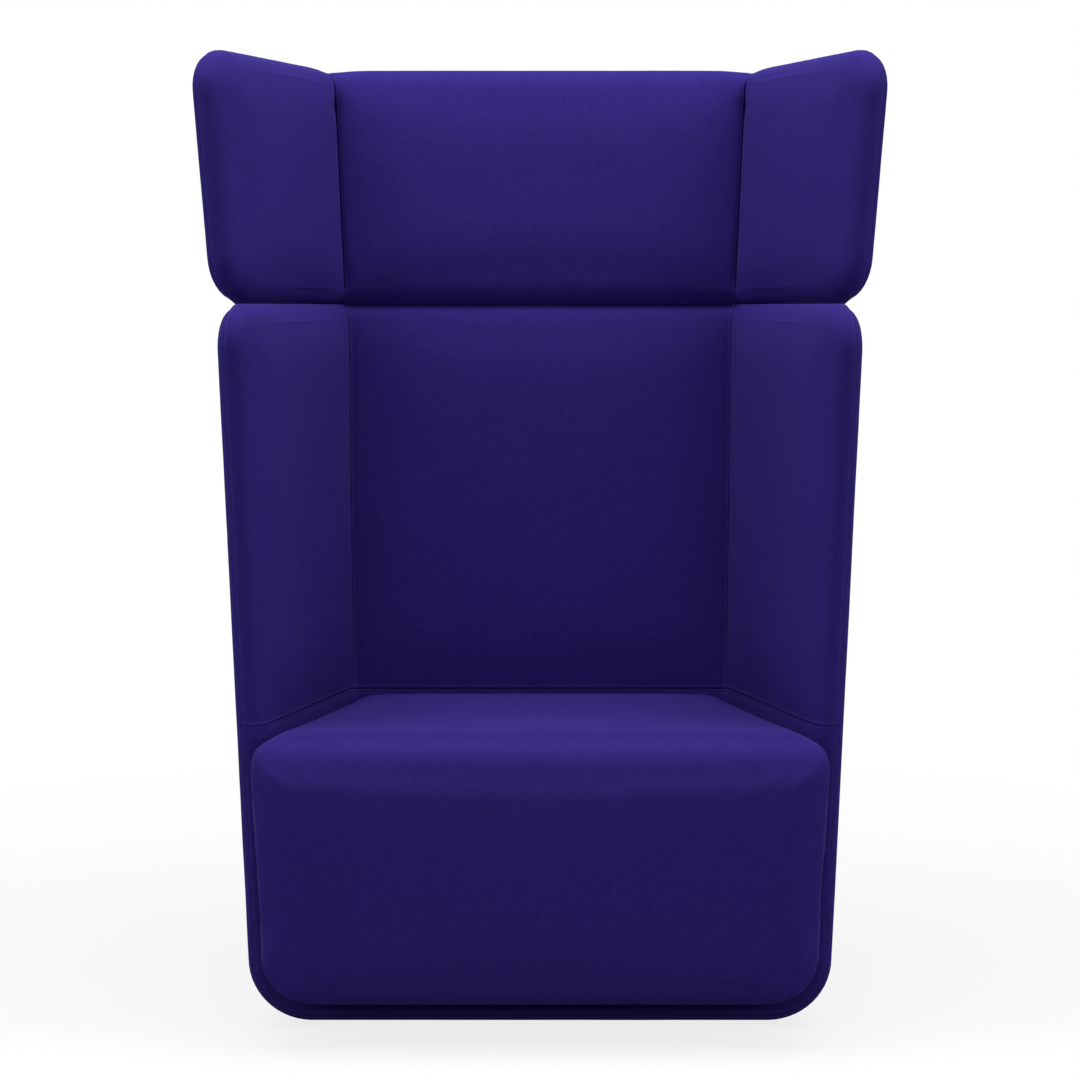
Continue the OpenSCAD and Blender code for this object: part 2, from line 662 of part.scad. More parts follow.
module at_places(places, z) {
    for (p = places) translate([p[0], p[1], z]) children();
}
module base_board() {
    color(ply_colour) placed() difference() {
        union() {
            translate([0, 0, board_low]) linear_extrude(height = base_t) polygon(floor_outline(fit));
            translate([0, 0, glide_h + half_t - ply_half])
                linear_extrude(height = 2 * ply_half) base_tongue();
        }
        at_places(glide_places, board_low - over)
            cylinder(h = screw_reach + 2 * over, d = screw_d + fit, $fn = small_fn);
        at_places(bolt_places, board_low - over)
            cylinder(h = base_t + 2 * over, d = bolt_d + fit, $fn = small_fn);
        at_places(bolt_places, board_low - over)
            cylinder(h = bolt_recess + over, d = bolt_head_d + 2 * fit, $fn = small_fn);
    }
}
module base_dust_cover() {
    color(black_colour) placed() translate([0, 0, glide_h]) linear_extrude(height = dust_t - fit)
        difference() {
            polygon(floor_outline(dust_edge));
            for (p = glide_places) translate(p) circle(d = glide_d + 2 * fit, $fn = round_fn);
        }
}
module glides() {
    edge = glide_h * glide_edge_share;
    color(black_colour) placed() at_places(glide_places, 0) difference() {
        rotate_extrude($fn = round_fn) polygon([
            [0, 0], [glide_d / 2 - edge, 0], [glide_d / 2, edge], [glide_d / 2, board_low],
            [0, board_low]]);
        translate([0, 0, -over])
            cylinder(h = board_low + 2 * over, d = screw_d + fit, $fn = small_fn);
        translate([0, 0, -over])
            cylinder(h = screw_recess + screw_head_h + over, d = screw_head_d + fit, $fn = small_fn);
    }
}
module glide_screws() {
    color(steel_colour) placed() at_places(glide_places, screw_recess) {
        cylinder(h = screw_head_h, d = screw_head_d, $fn = small_fn);
        cylinder(h = board_low + screw_reach - screw_recess, d = screw_d, $fn = small_fn);
    }
}
module socket_ferrules() {
    low = bar_r + fit;
    high = half_t - fit;
    color(black_colour) placed() at_pins(tub_rail) difference() {
        union() {
            translate([0, 0, low]) cylinder(h = high - low, d = ferrule_d, $fn = round_fn);
            translate([0, 0, high - flange_t]) cylinder(h = flange_t, d = flange_d, $fn = round_fn);
        }
        cylinder(h = wall_t, d = bore_d, $fn = round_fn);
    }
}

// Outline of the seat block at one height, from the middle of its front to the middle of its rear.
// The insets at the side, front and rear are measured from the faces of the whole block.
seat_low_h = glide_h + wall_t + dust_t + fit;
front_steps = 2;
edge_arc_steps = 2;
seat_side_steps = 2;
rear_steps = 1;
function seat_half_w(z, y) =
    tub_half_w(z) - tan(side_taper) * y - wall_t / cos(side_taper) - seat_gap;
function seat_rear_y(z) = back_inner_y(z) - seat_gap;
function seat_outline_half(z, side, front, rear, front_r, rear_r, swell) =
    let (y0 = -seat_overhang + front)
    let (y1 = seat_rear_y(z) - rear)
    let (c0 = [(front_r + side) / cos(side_taper) - seat_half_w(z, y0 + front_r), y0 + front_r])
    let (c1 = [(rear_r + side) / cos(side_taper) - seat_half_w(z, y1 - rear_r), y1 - rear_r])
    let (flank = half_turn - side_taper)
    let (a0 = c0 + front_r * [cos(flank), sin(flank)])
    let (a1 = c1 + rear_r * [cos(flank), sin(flank)])
    concat(
        [for (k = [0:front_steps])
            [c0[0] * k / front_steps, y0 - swell * cos(quarter * k / front_steps)]],
        [for (k = [1:edge_arc_steps]) let (a = lerp(turn - quarter, flank, k / edge_arc_steps))
            c0 + front_r * [cos(a), sin(a)]],
        [for (k = [1:seat_side_steps - 1]) lerp(a0, a1, k / seat_side_steps)],
        [for (k = [0:edge_arc_steps]) let (a = lerp(flank, quarter, k / edge_arc_steps))
            c1 + rear_r * [cos(a), sin(a)]],
        [for (k = [1:rear_steps]) [c1[0] * (1 - k / rear_steps), y1]]);
function whole_loop(half) =
    let (n = len(half)) concat(half, [for (k = [n - 2:-1:1]) [-half[k][0], half[k][1]]]);
function seat_rear_r(z, e, in) = e > seat_edge_r
    ? least_r
    : max(least_r, max(seat_edge_r, rear_corner(max(z, bend_h)) - wall_t) - in);
function seat_loop(z, side, front, rear, e, swell, fall) =
    let (sink = fall * tan(seat_fall) * tan(back_lean) * (seat_rear_y(z) + seat_overhang))
    [for (p = whole_loop(seat_outline_half(z, side, front, rear + sink, max(least_r, seat_edge_r - e),
                                           seat_rear_r(z, e, z < low_arc_h ? side : e), swell)))
        [p[0], p[1], z - fall * tan(seat_fall) * (p[1] + seat_overhang)]];

// Loops of the seat block from its turned-under lower margin to the middle of its top, for a layer
// that lies e inside the block
seat_top_h = seat_h + tan(seat_fall) * seat_roll_r / 2;
low_arc_h = seat_low_h + seat_low_r;
low_bend_steps = 3;
roll_steps = 4;
mid_shares = [0.5];
top_shares = [0.7, 0.3];
function front_in(z, e) =
    z >= seat_low_h + seat_edge_r || e >= seat_edge_r
        ? e
        : seat_edge_r - sqrt(max(0, pow(seat_edge_r - e, 2) - pow(seat_low_h + seat_edge_r - z, 2)));
function swell_at(z) = seat_swell * sin(half_turn * (z - seat_low_h) / (seat_top_h - seat_low_h));
function seat_wall_loops(e, e_front, e_rear) = concat(
    [seat_loop(seat_low_h + e, seat_low_r + turn_under, seat_edge_r + turn_under,
               seat_low_r + turn_under, e, 0, 0)],
    [for (k = [0:low_bend_steps]) let (a = quarter * (1 - k / low_bend_steps))
        let (z = low_arc_h - (seat_low_r - e) * sin(a))
        let (in = seat_low_r - (seat_low_r - e) * cos(a))
        seat_loop(z, in, front_in(z, e_front), max(in, e_rear), e, k == 0 ? 0 : swell_at(z), 0)]);
function seat_top_loops(e) =
    let (wall_top = seat_top_h - seat_roll_r)
    let (walls = [for (s = mid_shares) let (z = lerp(low_arc_h, wall_top, s))
        seat_loop(z, e, e, e, e, swell_at(z), s)])
    let (rolls = [for (k = [0:roll_steps]) let (a = quarter * k / roll_steps)
        let (in = seat_roll_r - (seat_roll_r - e) * cos(a))
        seat_loop(wall_top + (seat_roll_r - e) * sin(a), in, in, in, e,
                  swell_at(wall_top) * cos(a), 1)])
    let (rim = rolls[roll_steps])
    let (centre = [0, (seat_rear_y(seat_top_h) - seat_overhang) / 2])
    concat(walls, rolls, [for (s = top_shares) [for (p = rim)
        let (q = lerp(centre, [p[0], p[1]], s))
        [q[0], q[1],
         seat_top_h - e + seat_crown * (1 - s * s) - tan(seat_fall) * (q[1] + seat_overhang)]]]);

function loop_bands(rows, n) = [
    for (i = [0:rows - 2]) for (k = [0:n - 1]) let (m = (k + 1) % n)
        for (t = quad(i * n + k, i * n + m, (i + 1) * n + m, (i + 1) * n + k)) t];
function loop_lid(start, n) = [for (k = [0:n - 1]) [start + k, start + (k + 1) % n, start + n]];
function middle_of(loop) = [for (p = loop) 1 / len(loop)] * loop;

// A cup, open below, between outer loops and inner loops that have as many points each
module cup(outer, inner) {
    n = len(outer[0]);
    far = len(outer) * n + 1;
    outside = concat(loop_bands(len(outer), n), loop_lid((len(outer) - 1) * n, n));
    inside = concat(loop_bands(len(inner), n), loop_lid((len(inner) - 1) * n, n));
    mouth = [for (k = [0:n - 1]) let (m = (k + 1) % n) for (t = quad(k, far + k, far + m, m)) t];
    polyhedron(
        points = [for (loops = [outer, inner])
            each concat([for (loop = loops) each loop], [middle_of(loops[len(loops) - 1])])],
        faces = concat(outside, [for (f = flipped(inside)) f + [far, far, far]], mouth));
}
module seat_cover() {
    color(felt_colour) placed() cup(
        concat(seat_wall_loops(0, 0, 0), seat_top_loops(0)),
        concat(seat_wall_loops(felt_t, felt_t, felt_t), seat_top_loops(felt_t)));
}

// The foam of the seat block is hollow below, where the spring box stands
foam_in = felt_t + fit;
hollow_top_h = seat_top_h - felt_t - seat_foam_h;
module seat_foam() {
    color(foam_colour) placed() cup(
        concat(seat_wall_loops(foam_in, foam_in, foam_in), seat_top_loops(foam_in)),
        concat(seat_wall_loops(seat_side_foam, seat_front_foam, seat_rear_foam),
               [seat_loop(hollow_top_h, seat_side_foam, seat_front_foam, seat_rear_foam,
                          seat_side_foam, 0, 0)]));
}

// Spring box: four boards that follow the walls of the hollow, with the springs on top
box_in = seat_side_foam + least_r;
box_front_in = seat_front_foam + least_r;
box_rear_in = seat_rear_foam + least_r;
box_low_h = low_arc_h + fit;
box_top_h = hollow_top_h - spring_room;
function box_point(z, side_in, y) = [-(seat_half_w(z, y) - side_in / cos(side_taper)), y, z];
module slanted_board(low, high) {
    polyhedron(points = concat(low, high),
               faces = concat([[3, 2, 1, 0], [4, 5, 6, 7]],
                              [for (k = [0:3]) [(k + 1) % 4 + 4, k + 4, k, (k + 1) % 4]]));
}
function side_board_corners(z) =
    let (y0 = -seat_overhang + box_front_in)
    let (y1 = seat_rear_y(z) - box_rear_in)
    [box_point(z, box_in, y0), box_point(z, box_in, y1),
     box_point(z, box_in + box_t, y1), box_point(z, box_in + box_t, y0)];
function cross_board_corners(z, y0, y1) =
    let (in = box_in + box_t + fit)
    let (a = box_point(z, in, y0))
    let (b = box_point(z, in, y1))
    [a, b, mirror_x(b), mirror_x(a)];
module seat_box() {
    y0 = -seat_overhang + box_front_in;
    color(ply_colour) placed() {
        slanted_board(side_board_corners(box_low_h), side_board_corners(box_top_h));
        mirror([1, 0, 0])
            slanted_board(side_board_corners(box_low_h), side_board_corners(box_top_h));
        slanted_board(cross_board_corners(box_low_h, y0, y0 + box_t),
                      cross_board_corners(box_top_h, y0, y0 + box_t));
        slanted_board(
            cross_board_corners(box_low_h, seat_rear_y(box_low_h) - box_rear_in - box_t,
                                seat_rear_y(box_low_h) - box_rear_in),
            cross_board_corners(box_top_h, seat_rear_y(box_top_h) - box_rear_in - box_t,
                                seat_rear_y(box_top_h) - box_rear_in));
    }
}

// Two cross boards carry the spring box and stand on the base board
function board_half(z, y) = seat_half_w(z, y) - (box_in + box_t) / cos(side_taper) - fit;
function foot_half(y) = seat_half_w(seat_low_h, y) - (seat_low_r + turn_under) / cos(side_taper) - over;
module seat_bulkheads() {
    color(ply_colour) placed() for (y = board_ys) {
        rear = y + bulkhead_t / 2;
        foot = foot_half(rear);
        low = board_half(box_low_h, rear);
        high = board_half(bulkhead_h, rear);
        difference() {
            translate([0, rear, 0]) rotate([quarter, 0, 0]) linear_extrude(height = bulkhead_t)
                polygon([[-foot, board_top], [foot, board_top], [foot, box_low_h], [low, box_low_h],
                         [high, bulkhead_h], [-high, bulkhead_h], [-low, box_low_h],
                         [-foot, box_low_h]]);
            for (side = [-1, 1]) translate([side * bolt_spacing / 2, y, board_top - over])
                cylinder(h = bolt_reach + 2 * over, d = bolt_d + fit, $fn = small_fn);
        }
    }
}
module seat_bolts() {
    low = board_low + bolt_recess - bolt_head_h;
    color(steel_colour) placed() at_places(bolt_places, low) difference() {
        union() {
            cylinder(h = bolt_head_h, d = bolt_head_d, $fn = small_fn);
            cylinder(h = board_top + bolt_reach - low, d = bolt_d, $fn = small_fn);
        }
        translate([0, 0, -over]) cylinder(h = bolt_head_h / 2 + over, d = bolt_d * socket_share, $fn = 6);
    }
}
module seat_dust_cover() {
    loop = whole_loop(seat_outline_half(
        seat_low_h, seat_low_r + turn_under - dust_edge, seat_edge_r + turn_under - dust_edge,
        seat_low_r + turn_under - dust_edge, seat_edge_r, seat_edge_r, 0));
    color(black_colour) placed() translate([0, 0, glide_h + wall_t + fit / 2])
        linear_extrude(height = dust_t) difference() {
            polygon(loop);
            for (y = board_ys) let (half = foot_half(y + bulkhead_t / 2) + fit)
                translate([-half, y - bulkhead_t / 2 - fit]) square([2 * half, bulkhead_t + 2 * fit]);
        }
}

// Zigzag springs from the front board of the box to its rear board
spring_h = box_top_h + clip_t + fit + wire_d / 2;
spring_xs = [for (k = [0:springs - 1]) (k - (springs - 1) / 2) * spring_spacing];
spring_front_y = -seat_overhang + box_front_in + box_t / 2;
spring_rear_y = seat_rear_y(box_top_h) - box_rear_in - box_t / 2;
half_waves = 8;
corner_share = 0.3;
function spring_points(x) =
    let (pitch = (spring_rear_y - spring_front_y) / half_waves)
    let (reach = spring_w / 2)
    let (inner = reach - pitch * corner_share)
    concat(
        [[x + inner, spring_front_y], [x - inner, spring_front_y]],
        [for (k = [0:half_waves - 1]) let (side = k % 2 == 0 ? -1 : 1)
            let (y = spring_front_y + k * pitch)
            each [[x + side * reach, y + pitch * corner_share],
                  [x + side * reach, y + pitch * (1 - corner_share)],
                  [x + side * inner, y + pitch], [x - side * inner, y + pitch]]]);
function wire_cells(points, z) =
    let (n = len(points))
    [for (k = [0:n - 1])
        let (d = points[min(k + 1, n - 1)] - points[max(k - 1, 0)])
        let (l = norm(d))
        [[points[k][0], points[k][1], z], up, [-d[1] / l, d[0] / l, 0]]];
module seat_springs() {
    color(steel_colour) placed() for (x = spring_xs)
        bent_bar(wire_cells(spring_points(x), spring_h), wire_d / 2, wire_sides);
}
// Each clip is a strap folded over the end of a spring on top of a board
module spring_clips() {
    inside = wire_d + 2 * fit;
    reach = box_t / 2 - fit;
    color(steel_colour) placed() for (x = spring_xs) for (end = [-1, 1])
        translate([x, end < 0 ? spring_front_y : spring_rear_y, box_top_h])
            rotate([quarter, 0, end * quarter]) translate([0, 0, -clip_w / 2])
                linear_extrude(height = clip_w) difference() {
                    translate([-reach, 0]) square([2 * reach - fit, inside + 2 * clip_t]);
                    translate([-wire_d / 2 - fit, clip_t]) square([reach + wall_t, inside]);
                }
}

module head_outer_cover() {
    color(felt_colour) placed() head_closed(-1, half_t, half_t - felt_t);
}
module head_cover_left() {
    color(felt_colour) placed() head_wing(half_t, half_t - felt_t);
}
module head_cover_right() {
    mirror([1, 0, 0]) head_cover_left();
}
module head_cover_centre() {
    color(felt_colour) placed() difference() {
        head_centre(half_t, half_t - felt_t);
        pin_holes_below(head_rail_place, bore_d);
    }
}
module head_outer_foam() {
    color(foam_colour) placed() head_closed(-1, foam_half, core_half);
}
module head_inner_foam() {
    color(foam_colour) placed() difference() {
        head_closed(1, foam_half, core_half);
        pin_holes_below(head_rail_place, bore_d);
    }
}
head_board_rows = concat([0], [for (i = [2:head_last - 2]) i], [head_last]);
module head_core() {
    color(ply_colour) placed()
        core_piece(head_grid, head_board_rows, 0, last_col, ply_half, wing_flare, top = true,
                   front = true, low = true);
}
module head_rim() {
    cells = concat(left_along(head_last, 0, arc_col), tail(left_up(0, head_last, 0)),
                   tail(right_along(0, 0, last_col)), tail(right_down(0, head_last, last_col)),
                   tail(left_along(head_last, last_col - arc_col, last_col)));
    color(steel_colour) placed() bent_bar(cells_of(head_grid, cells), bar_r, bar_sides);
}
head_rail_half = -head_grid[head_last][arc_col][0][0] - fit;
module head_rail() {
    color(steel_colour) placed() difference() {
        translate([-head_rail_half, head_rail_place[1], head_rail_place[2]]) rotate([0, quarter, 0])
            cylinder(h = 2 * head_rail_half, d = bar_d, $fn = round_fn);
        at_pins(head_rail_place) translate([0, 0, -bar_d])
            cylinder(h = 2 * bar_d, d = pin_d + fit, $fn = small_fn);
    }
}
module head_pins() {
    edge = pin_d * pin_edge_share;
    color(steel_colour) placed() at_pins(head_rail_place) translate([0, 0, -pin_reach])
        rotate_extrude($fn = round_fn) polygon([
            [0, 0], [pin_d / 2 - edge, 0], [pin_d / 2, edge], [pin_d / 2, pin_reach + bar_r / 2],
            [0, pin_reach + bar_r / 2]]);
}

outer_cover();
inner_cover_left();
inner_cover_right();
inner_cover_back();
lower_lining();
outer_foam();
side_foam_left();
side_foam_right();
back_foam();
lower_foam();
rim_frame();
top_rail();
corner_posts();
side_panel_left();
side_panel_right();
back_panel();
base_knees();
base_board();
base_dust_cover();
glides();
glide_screws();
socket_ferrules();
seat_box();
seat_bulkheads();
seat_bolts();
seat_springs();
spring_clips();
seat_foam();
seat_cover();
seat_dust_cover();
head_outer_cover();
head_cover_left();
head_cover_right();
head_cover_centre();
head_outer_foam();
head_inner_foam();
head_core();
head_rim();
head_rail();
head_pins();
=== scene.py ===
"""Felt covers, seams, stitching and finishes of an acoustic high back lounge chair."""
import json
import math

import bmesh
import bpy
import numpy as np
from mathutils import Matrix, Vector, noise
from mathutils.kdtree import KDTree


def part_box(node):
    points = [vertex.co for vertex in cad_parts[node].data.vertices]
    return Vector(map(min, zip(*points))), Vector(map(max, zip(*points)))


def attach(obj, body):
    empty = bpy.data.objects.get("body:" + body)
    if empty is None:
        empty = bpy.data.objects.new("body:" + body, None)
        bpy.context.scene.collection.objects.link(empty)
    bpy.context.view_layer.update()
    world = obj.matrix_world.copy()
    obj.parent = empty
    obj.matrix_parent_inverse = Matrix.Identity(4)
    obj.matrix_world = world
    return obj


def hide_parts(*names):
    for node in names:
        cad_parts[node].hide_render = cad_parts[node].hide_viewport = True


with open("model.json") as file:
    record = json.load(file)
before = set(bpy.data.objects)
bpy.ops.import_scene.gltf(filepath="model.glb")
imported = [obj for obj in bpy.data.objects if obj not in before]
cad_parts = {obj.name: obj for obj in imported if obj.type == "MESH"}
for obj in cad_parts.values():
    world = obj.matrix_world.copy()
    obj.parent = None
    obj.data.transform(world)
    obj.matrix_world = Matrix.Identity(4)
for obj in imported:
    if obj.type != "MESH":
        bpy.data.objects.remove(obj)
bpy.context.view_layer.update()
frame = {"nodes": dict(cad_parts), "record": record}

MM = 0.001

bl_info = {
    "name": "Acoustic high back lounge chair",
    "version": (1, 0, 0),
    "blender": (4, 5, 0),
    "location": "3D View > Sidebar > Chair",
    "description": "Makes the felt covers, seams and finishes of the chair round its frame",
    "category": "Object",
}

TUB_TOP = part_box("inner_cover_back")[1].z
HEAD_LOW, HEAD_TOP = (corner.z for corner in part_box("head_cover_centre"))
# Height at which the felt of the headrest lies on the felt of the tub
REST_LEVEL = (TUB_TOP + HEAD_LOW) / 2

# Columns of a wall count from its left front edge: 1 and 2 are the ends of the left rear corner, 3 the
# middle of the back, 4 to 6 the same on the right. Rows of the tub count from its top edge: 1 is the
# end of the rounded front corner, 2 the sewn seam above the seat, 3 the start of the turn into the
# floor and 4 the floor. Rows of the headrest: 1 and 2 are the ends of its rounded front corners.
CORNER_SEAM = 1.5
BACK_MIDDLE = 3.0
COLUMNS = 6.0
# The strip along the front of the tub's floor ends at this column
FLOOR_STRIP = 0.14
QUARTER = math.pi / 2
# Steps from a seam, and round the edge of a wall on the outer and inner covers, at which topstitching runs
STITCHED = 7
OUTER_STITCHED = 8
INNER_STITCHED = 12
# Lengths along the walls, which only set the pitch of their cells: round a rear corner and a front corner
# of the tub and of the headrest, along a wing and the headrest's back, and down the tub below its seam
TUB_ARC, TUB_EDGE_ARC = 0.06, 0.07
HEAD_ARC, HEAD_EDGE_ARC = 0.05, 0.067
WING, HEAD_BACK = 0.345, 0.56
LOW_ROWS = [(2, 0), (3, 0.35), (4, 0.46)]


# Sizes and colours


def srgb(code):
    """Linear red, green and blue of an sRGB hex colour."""
    parts = [int(code[i:i + 2], 16) / 255 for i in (1, 3, 5)]
    return [c / 12.92 if c <= 0.04045 else ((c + 0.055) / 1.055) ** 2.4 for c in parts]


def length(name, description, default):
    return bpy.props.FloatProperty(name=name, description=description, default=default, unit="LENGTH")


def angle(name, description, degrees):
    return bpy.props.FloatProperty(name=name, description=description, default=math.radians(degrees),
                                   subtype="ANGLE")


def colour(name, description, code):
    return bpy.props.FloatVectorProperty(name=name, description=description, default=srgb(code),
                                         subtype="COLOR", min=0, max=1)


class ChairTub(bpy.types.PropertyGroup):
    top: length("Top", "Height of the top edge of the tub", TUB_TOP)
    floor_width: length("Floor width", "Outer width at floor level, across the front edge", 0.831)
    floor_depth: length("Floor depth", "Depth inside the tub at floor level", 0.374)
    wall: length("Wall", "Thickness of the padded walls", 0.046)
    side_taper: angle("Side taper", "Plan angle by which each side closes in towards the back", 12)
    side_flare: angle("Side flare", "Angle by which each side leans outwards", 3)
    back_lean: angle("Back lean", "Angle by which the back leans backwards", 9.3)
    front_lean: angle("Front lean", "Angle by which the front edge of the sides leans backwards", 2.3)
    front_corner: length("Front corner", "Radius of the front top corner of the sides", 0.066)
    under_bend: length("Under bend", "Outer radius where the walls turn under into the floor", 0.089)
    rear_corner: length("Rear corner", "Outer radius of the upright rear corners", 0.058)
    low_corner: length("Low corner", "Outer radius of the rear corners near the floor", 0.122)
    glide: length("Glide", "Height of the glides under the tub", 0.008)


class ChairSeat(bpy.types.PropertyGroup):
    height: length("Height", "Height of the seat at its front edge", 0.426)
    fall: angle("Fall", "Angle by which the seat falls towards the back", 1.7)
    overhang: length("Overhang", "How far the seat block stands out in front of the tub", 0.085)
    gap: length("Gap", "Room between the seat block and the tub", 0.002)
    low_radius: length("Low radius", "Radius of the lower corners, seen from the front", 0.07)
    roll_radius: length("Roll radius", "Radius of the rolled top edge", 0.034)
    edge_radius: length("Edge radius", "Radius of the upright edges", 0.014)
    crown: length("Crown", "Rise of the seat top in its middle", 0.007)
    swell: length("Swell", "Swell of the front face", 0.004)
    seam_rise: length("Seam rise", "Height of the tub's seam above the front edge of the seat", 0.007)
    turn_under: length("Turn under", "Width of the lower margin of the cover", 0.028)
    low_roll: length("Low roll", "Radius of the lower front edge", 0.027)
    side_roll: bpy.props.FloatProperty(name="Side roll", description="Share of the roll that the sides have",
                                       default=0.42, min=0, max=1)


class ChairHeadrest(bpy.types.PropertyGroup):
    low: length("Lower edge", "Height of the lower edge of the headrest", HEAD_LOW)
    top: length("Top", "Height of the top edge of the headrest", HEAD_TOP)
    width: length("Width", "Outer width across the wings at their lower front corners", 0.986)
    setback: length("Setback", "Distance of the wing tips behind the front edge of the tub", 0.204)
    splay: angle("Splay", "Plan angle by which each wing opens", 21.4)
    flare: angle("Flare", "Angle by which each wing leans outwards", 6.7)
    lean: angle("Lean", "Angle by which the wing tips lean backwards", 4.6)
    corner: length("Corner", "Radius of the front corners of the wings", 0.066)
    bulge: length("Bulge", "Swell of the inner faces in their middle", 0.016)


class ChairCloth(bpy.types.PropertyGroup):
    pad: length("Pad", "Thickness of the felt and the foam under it", 0.0136)
    crown: length("Crown", "Swell of the outer faces in their middle", 0.004)
    bulge: length("Bulge", "Swell of the inner faces of the tub in their middle", 0.013)
    seam_turn: angle("Seam turn", "Turn round the edge of a wall at which the covers meet", 60)
    tuck: length("Tuck", "Radius at which a cover turns down into a seam", 0.0016)
    topstitch: length("Topstitch", "Distance of the topstitching from its seam", 0.006)
    stitch: length("Stitch", "Length of one stitch", 0.0042)
    thread: length("Thread", "Diameter of the sewing thread", 0.0005)
    felt: colour("Felt", "Colour of the wool felt", "#32267A")
    shade: colour("Shade", "Darker fibres of the felt", "#2B206C")
    fleck: colour("Fleck", "Lighter fibres of the felt", "#3F338C")
    yarn: colour("Yarn", "Colour of the sewing thread", "#3A2E80")


class ChairRoom(bpy.types.PropertyGroup):
    distance: length("Distance", "Distance of the camera in front of the chair's middle", 3.675)
    eye: length("Eye", "Height of the camera", 1.0215)
    tilt: angle("Tilt", "Angle by which the camera looks down", 5.46)
    lens: bpy.props.FloatProperty(name="Lens", description="Focal length in millimetres", default=81.97)
    floor: colour("Floor", "Colour of the floor and the backdrop", "#F7F7F7")
    underlight: colour("Underlight", "Colour of the light that the floor throws up", "#85858A")


# Shapes of the walls


def part_way(a, b, share):
    return a + (b - a) * share


def eased(share):
    """Share from 0 to 1 that leaves 0 at once and comes to rest at 1."""
    return np.sin(QUARTER * np.clip(share, 0, 1))


def quads_between(grid):
    """Quads between the numbers of a grid of points."""
    return np.stack([grid[:-1, :-1], grid[:-1, 1:], grid[1:, 1:], grid[1:, :-1]], -1).reshape(-1, 4)


def wall_plan(half_w, taper, back_y, radius, start_y, u):
    """Middle line of a wall in plan at the columns u, with the direction of its outer side."""
    right = u > BACK_MIDDLE
    t = np.where(right, COLUMNS - u, u)
    centre_y = back_y - radius
    centre_x = -(half_w - math.tan(taper) * centre_y) + radius / math.cos(taper)
    side_y = part_way(start_y, centre_y + radius * math.sin(taper), np.clip(t, 0, 1))
    a = part_way(math.pi - taper, QUARTER, np.clip(t - 1, 0, 1))
    x = np.where(t <= 1, -(half_w - math.tan(taper) * side_y), centre_x + radius * np.cos(a))
    y = np.where(t <= 1, side_y, centre_y + radius * np.sin(a))
    x = np.where(t > 2, centre_x * (BACK_MIDDLE - t), x)
    return np.where(right, -x, x), y, np.where(right, math.pi - a, a)


def edge_way(taper, a, u, lean):
    """Direction in which the open edge of a wall faces, turning by a up or down along its lean."""
    side = np.where(u < BACK_MIDDLE, -1.0, 1.0)
    level = np.stack([side * math.sin(taper) * np.cos(a), -math.cos(taper) * np.cos(a), 0 * a], -1)
    return level + np.sin(a)[..., None] * lean


def placed(scene, plan, z, taper, turn, u, v):
    """Middle points of a wall at the heights z, the level ways inwards, its lean and the ways of its edge."""
    (x, y, a), (x2, y2, _) = plan(z), plan(z + MM)
    mid = np.stack([x, y + middle_y(scene), z], -1)
    inward = np.stack([-np.cos(a), -np.sin(a), 0 * z], -1)
    lean = np.stack([x2 - x, y2 - y, np.full_like(z, MM)], -1) / MM
    return mid, inward, lean, np.where((v == 0)[..., None], lean, edge_way(taper, turn, u, lean))


# Columns and their distances from the seam in the inner corner, and how far it holds the padding down
SEAM_PLACES = (0, 1, CORNER_SEAM, 2, BACK_MIDDLE)
SEAM_DISTANCES = (0.43, 0.027, 0, 0.027, 0.327)
SEAM_REACH = 0.12
# Powers below 1 let the swell start more steeply at a seam
SWELL_POWER, LOW_SEAM_POWER = 0.9, 0.7
# A padded face turns to its edge within this distance, on a superellipse of this power
EDGE_ROLL = 0.09
EDGE_POWER = 2.5


def swell_along(u):
    """Share of its swell that a padded face has along its columns: none at the seams of the corners."""
    away = np.interp(np.minimum(u, COLUMNS - u), SEAM_PLACES, SEAM_DISTANCES)
    return eased(away / SEAM_REACH) ** SWELL_POWER


def fuller(s, half, crown):
    """How much further than a plain round edge padding that swells by crown stands out, at the distance
    s from the edge: it starts steeply there and is flat in its middle, as foam under tight felt."""
    if not crown:
        return 0 * s
    full = (half + crown) * (1 - (1 - np.clip(s / EDGE_ROLL, 0, 1)) ** EDGE_POWER) ** (1 / EDGE_POWER)
    return full - np.sqrt(half ** 2 - np.clip(half - s, 0, half) ** 2)


def seat_seam_height(scene):
    return scene.chair_seat.height + scene.chair_seat.seam_rise


def middle_y(scene):
    """Shift that puts the middle of the whole depth over the origin."""
    tub, seat = scene.chair_tub, scene.chair_seat
    back = tub.floor_depth + tub.wall + math.tan(tub.back_lean) * (scene.chair_headrest.top - tub.wall / 2)
    return (seat.overhang + seat.swell - back) / 2


def tub_half_w(tub, z):
    return tub.floor_width / 2 + math.tan(tub.side_flare) * z


def back_inner_y(tub, z):
    return tub.floor_depth + math.tan(tub.back_lean) * z


def rear_corner(scene, z):
    tub, seam_h = scene.chair_tub, seat_seam_height(scene)
    bend_h = tub.glide + tub.under_bend
    share = np.clip((z - bend_h) / (seam_h - bend_h), 0, 1)
    return part_way(tub.low_corner, tub.rear_corner, share)


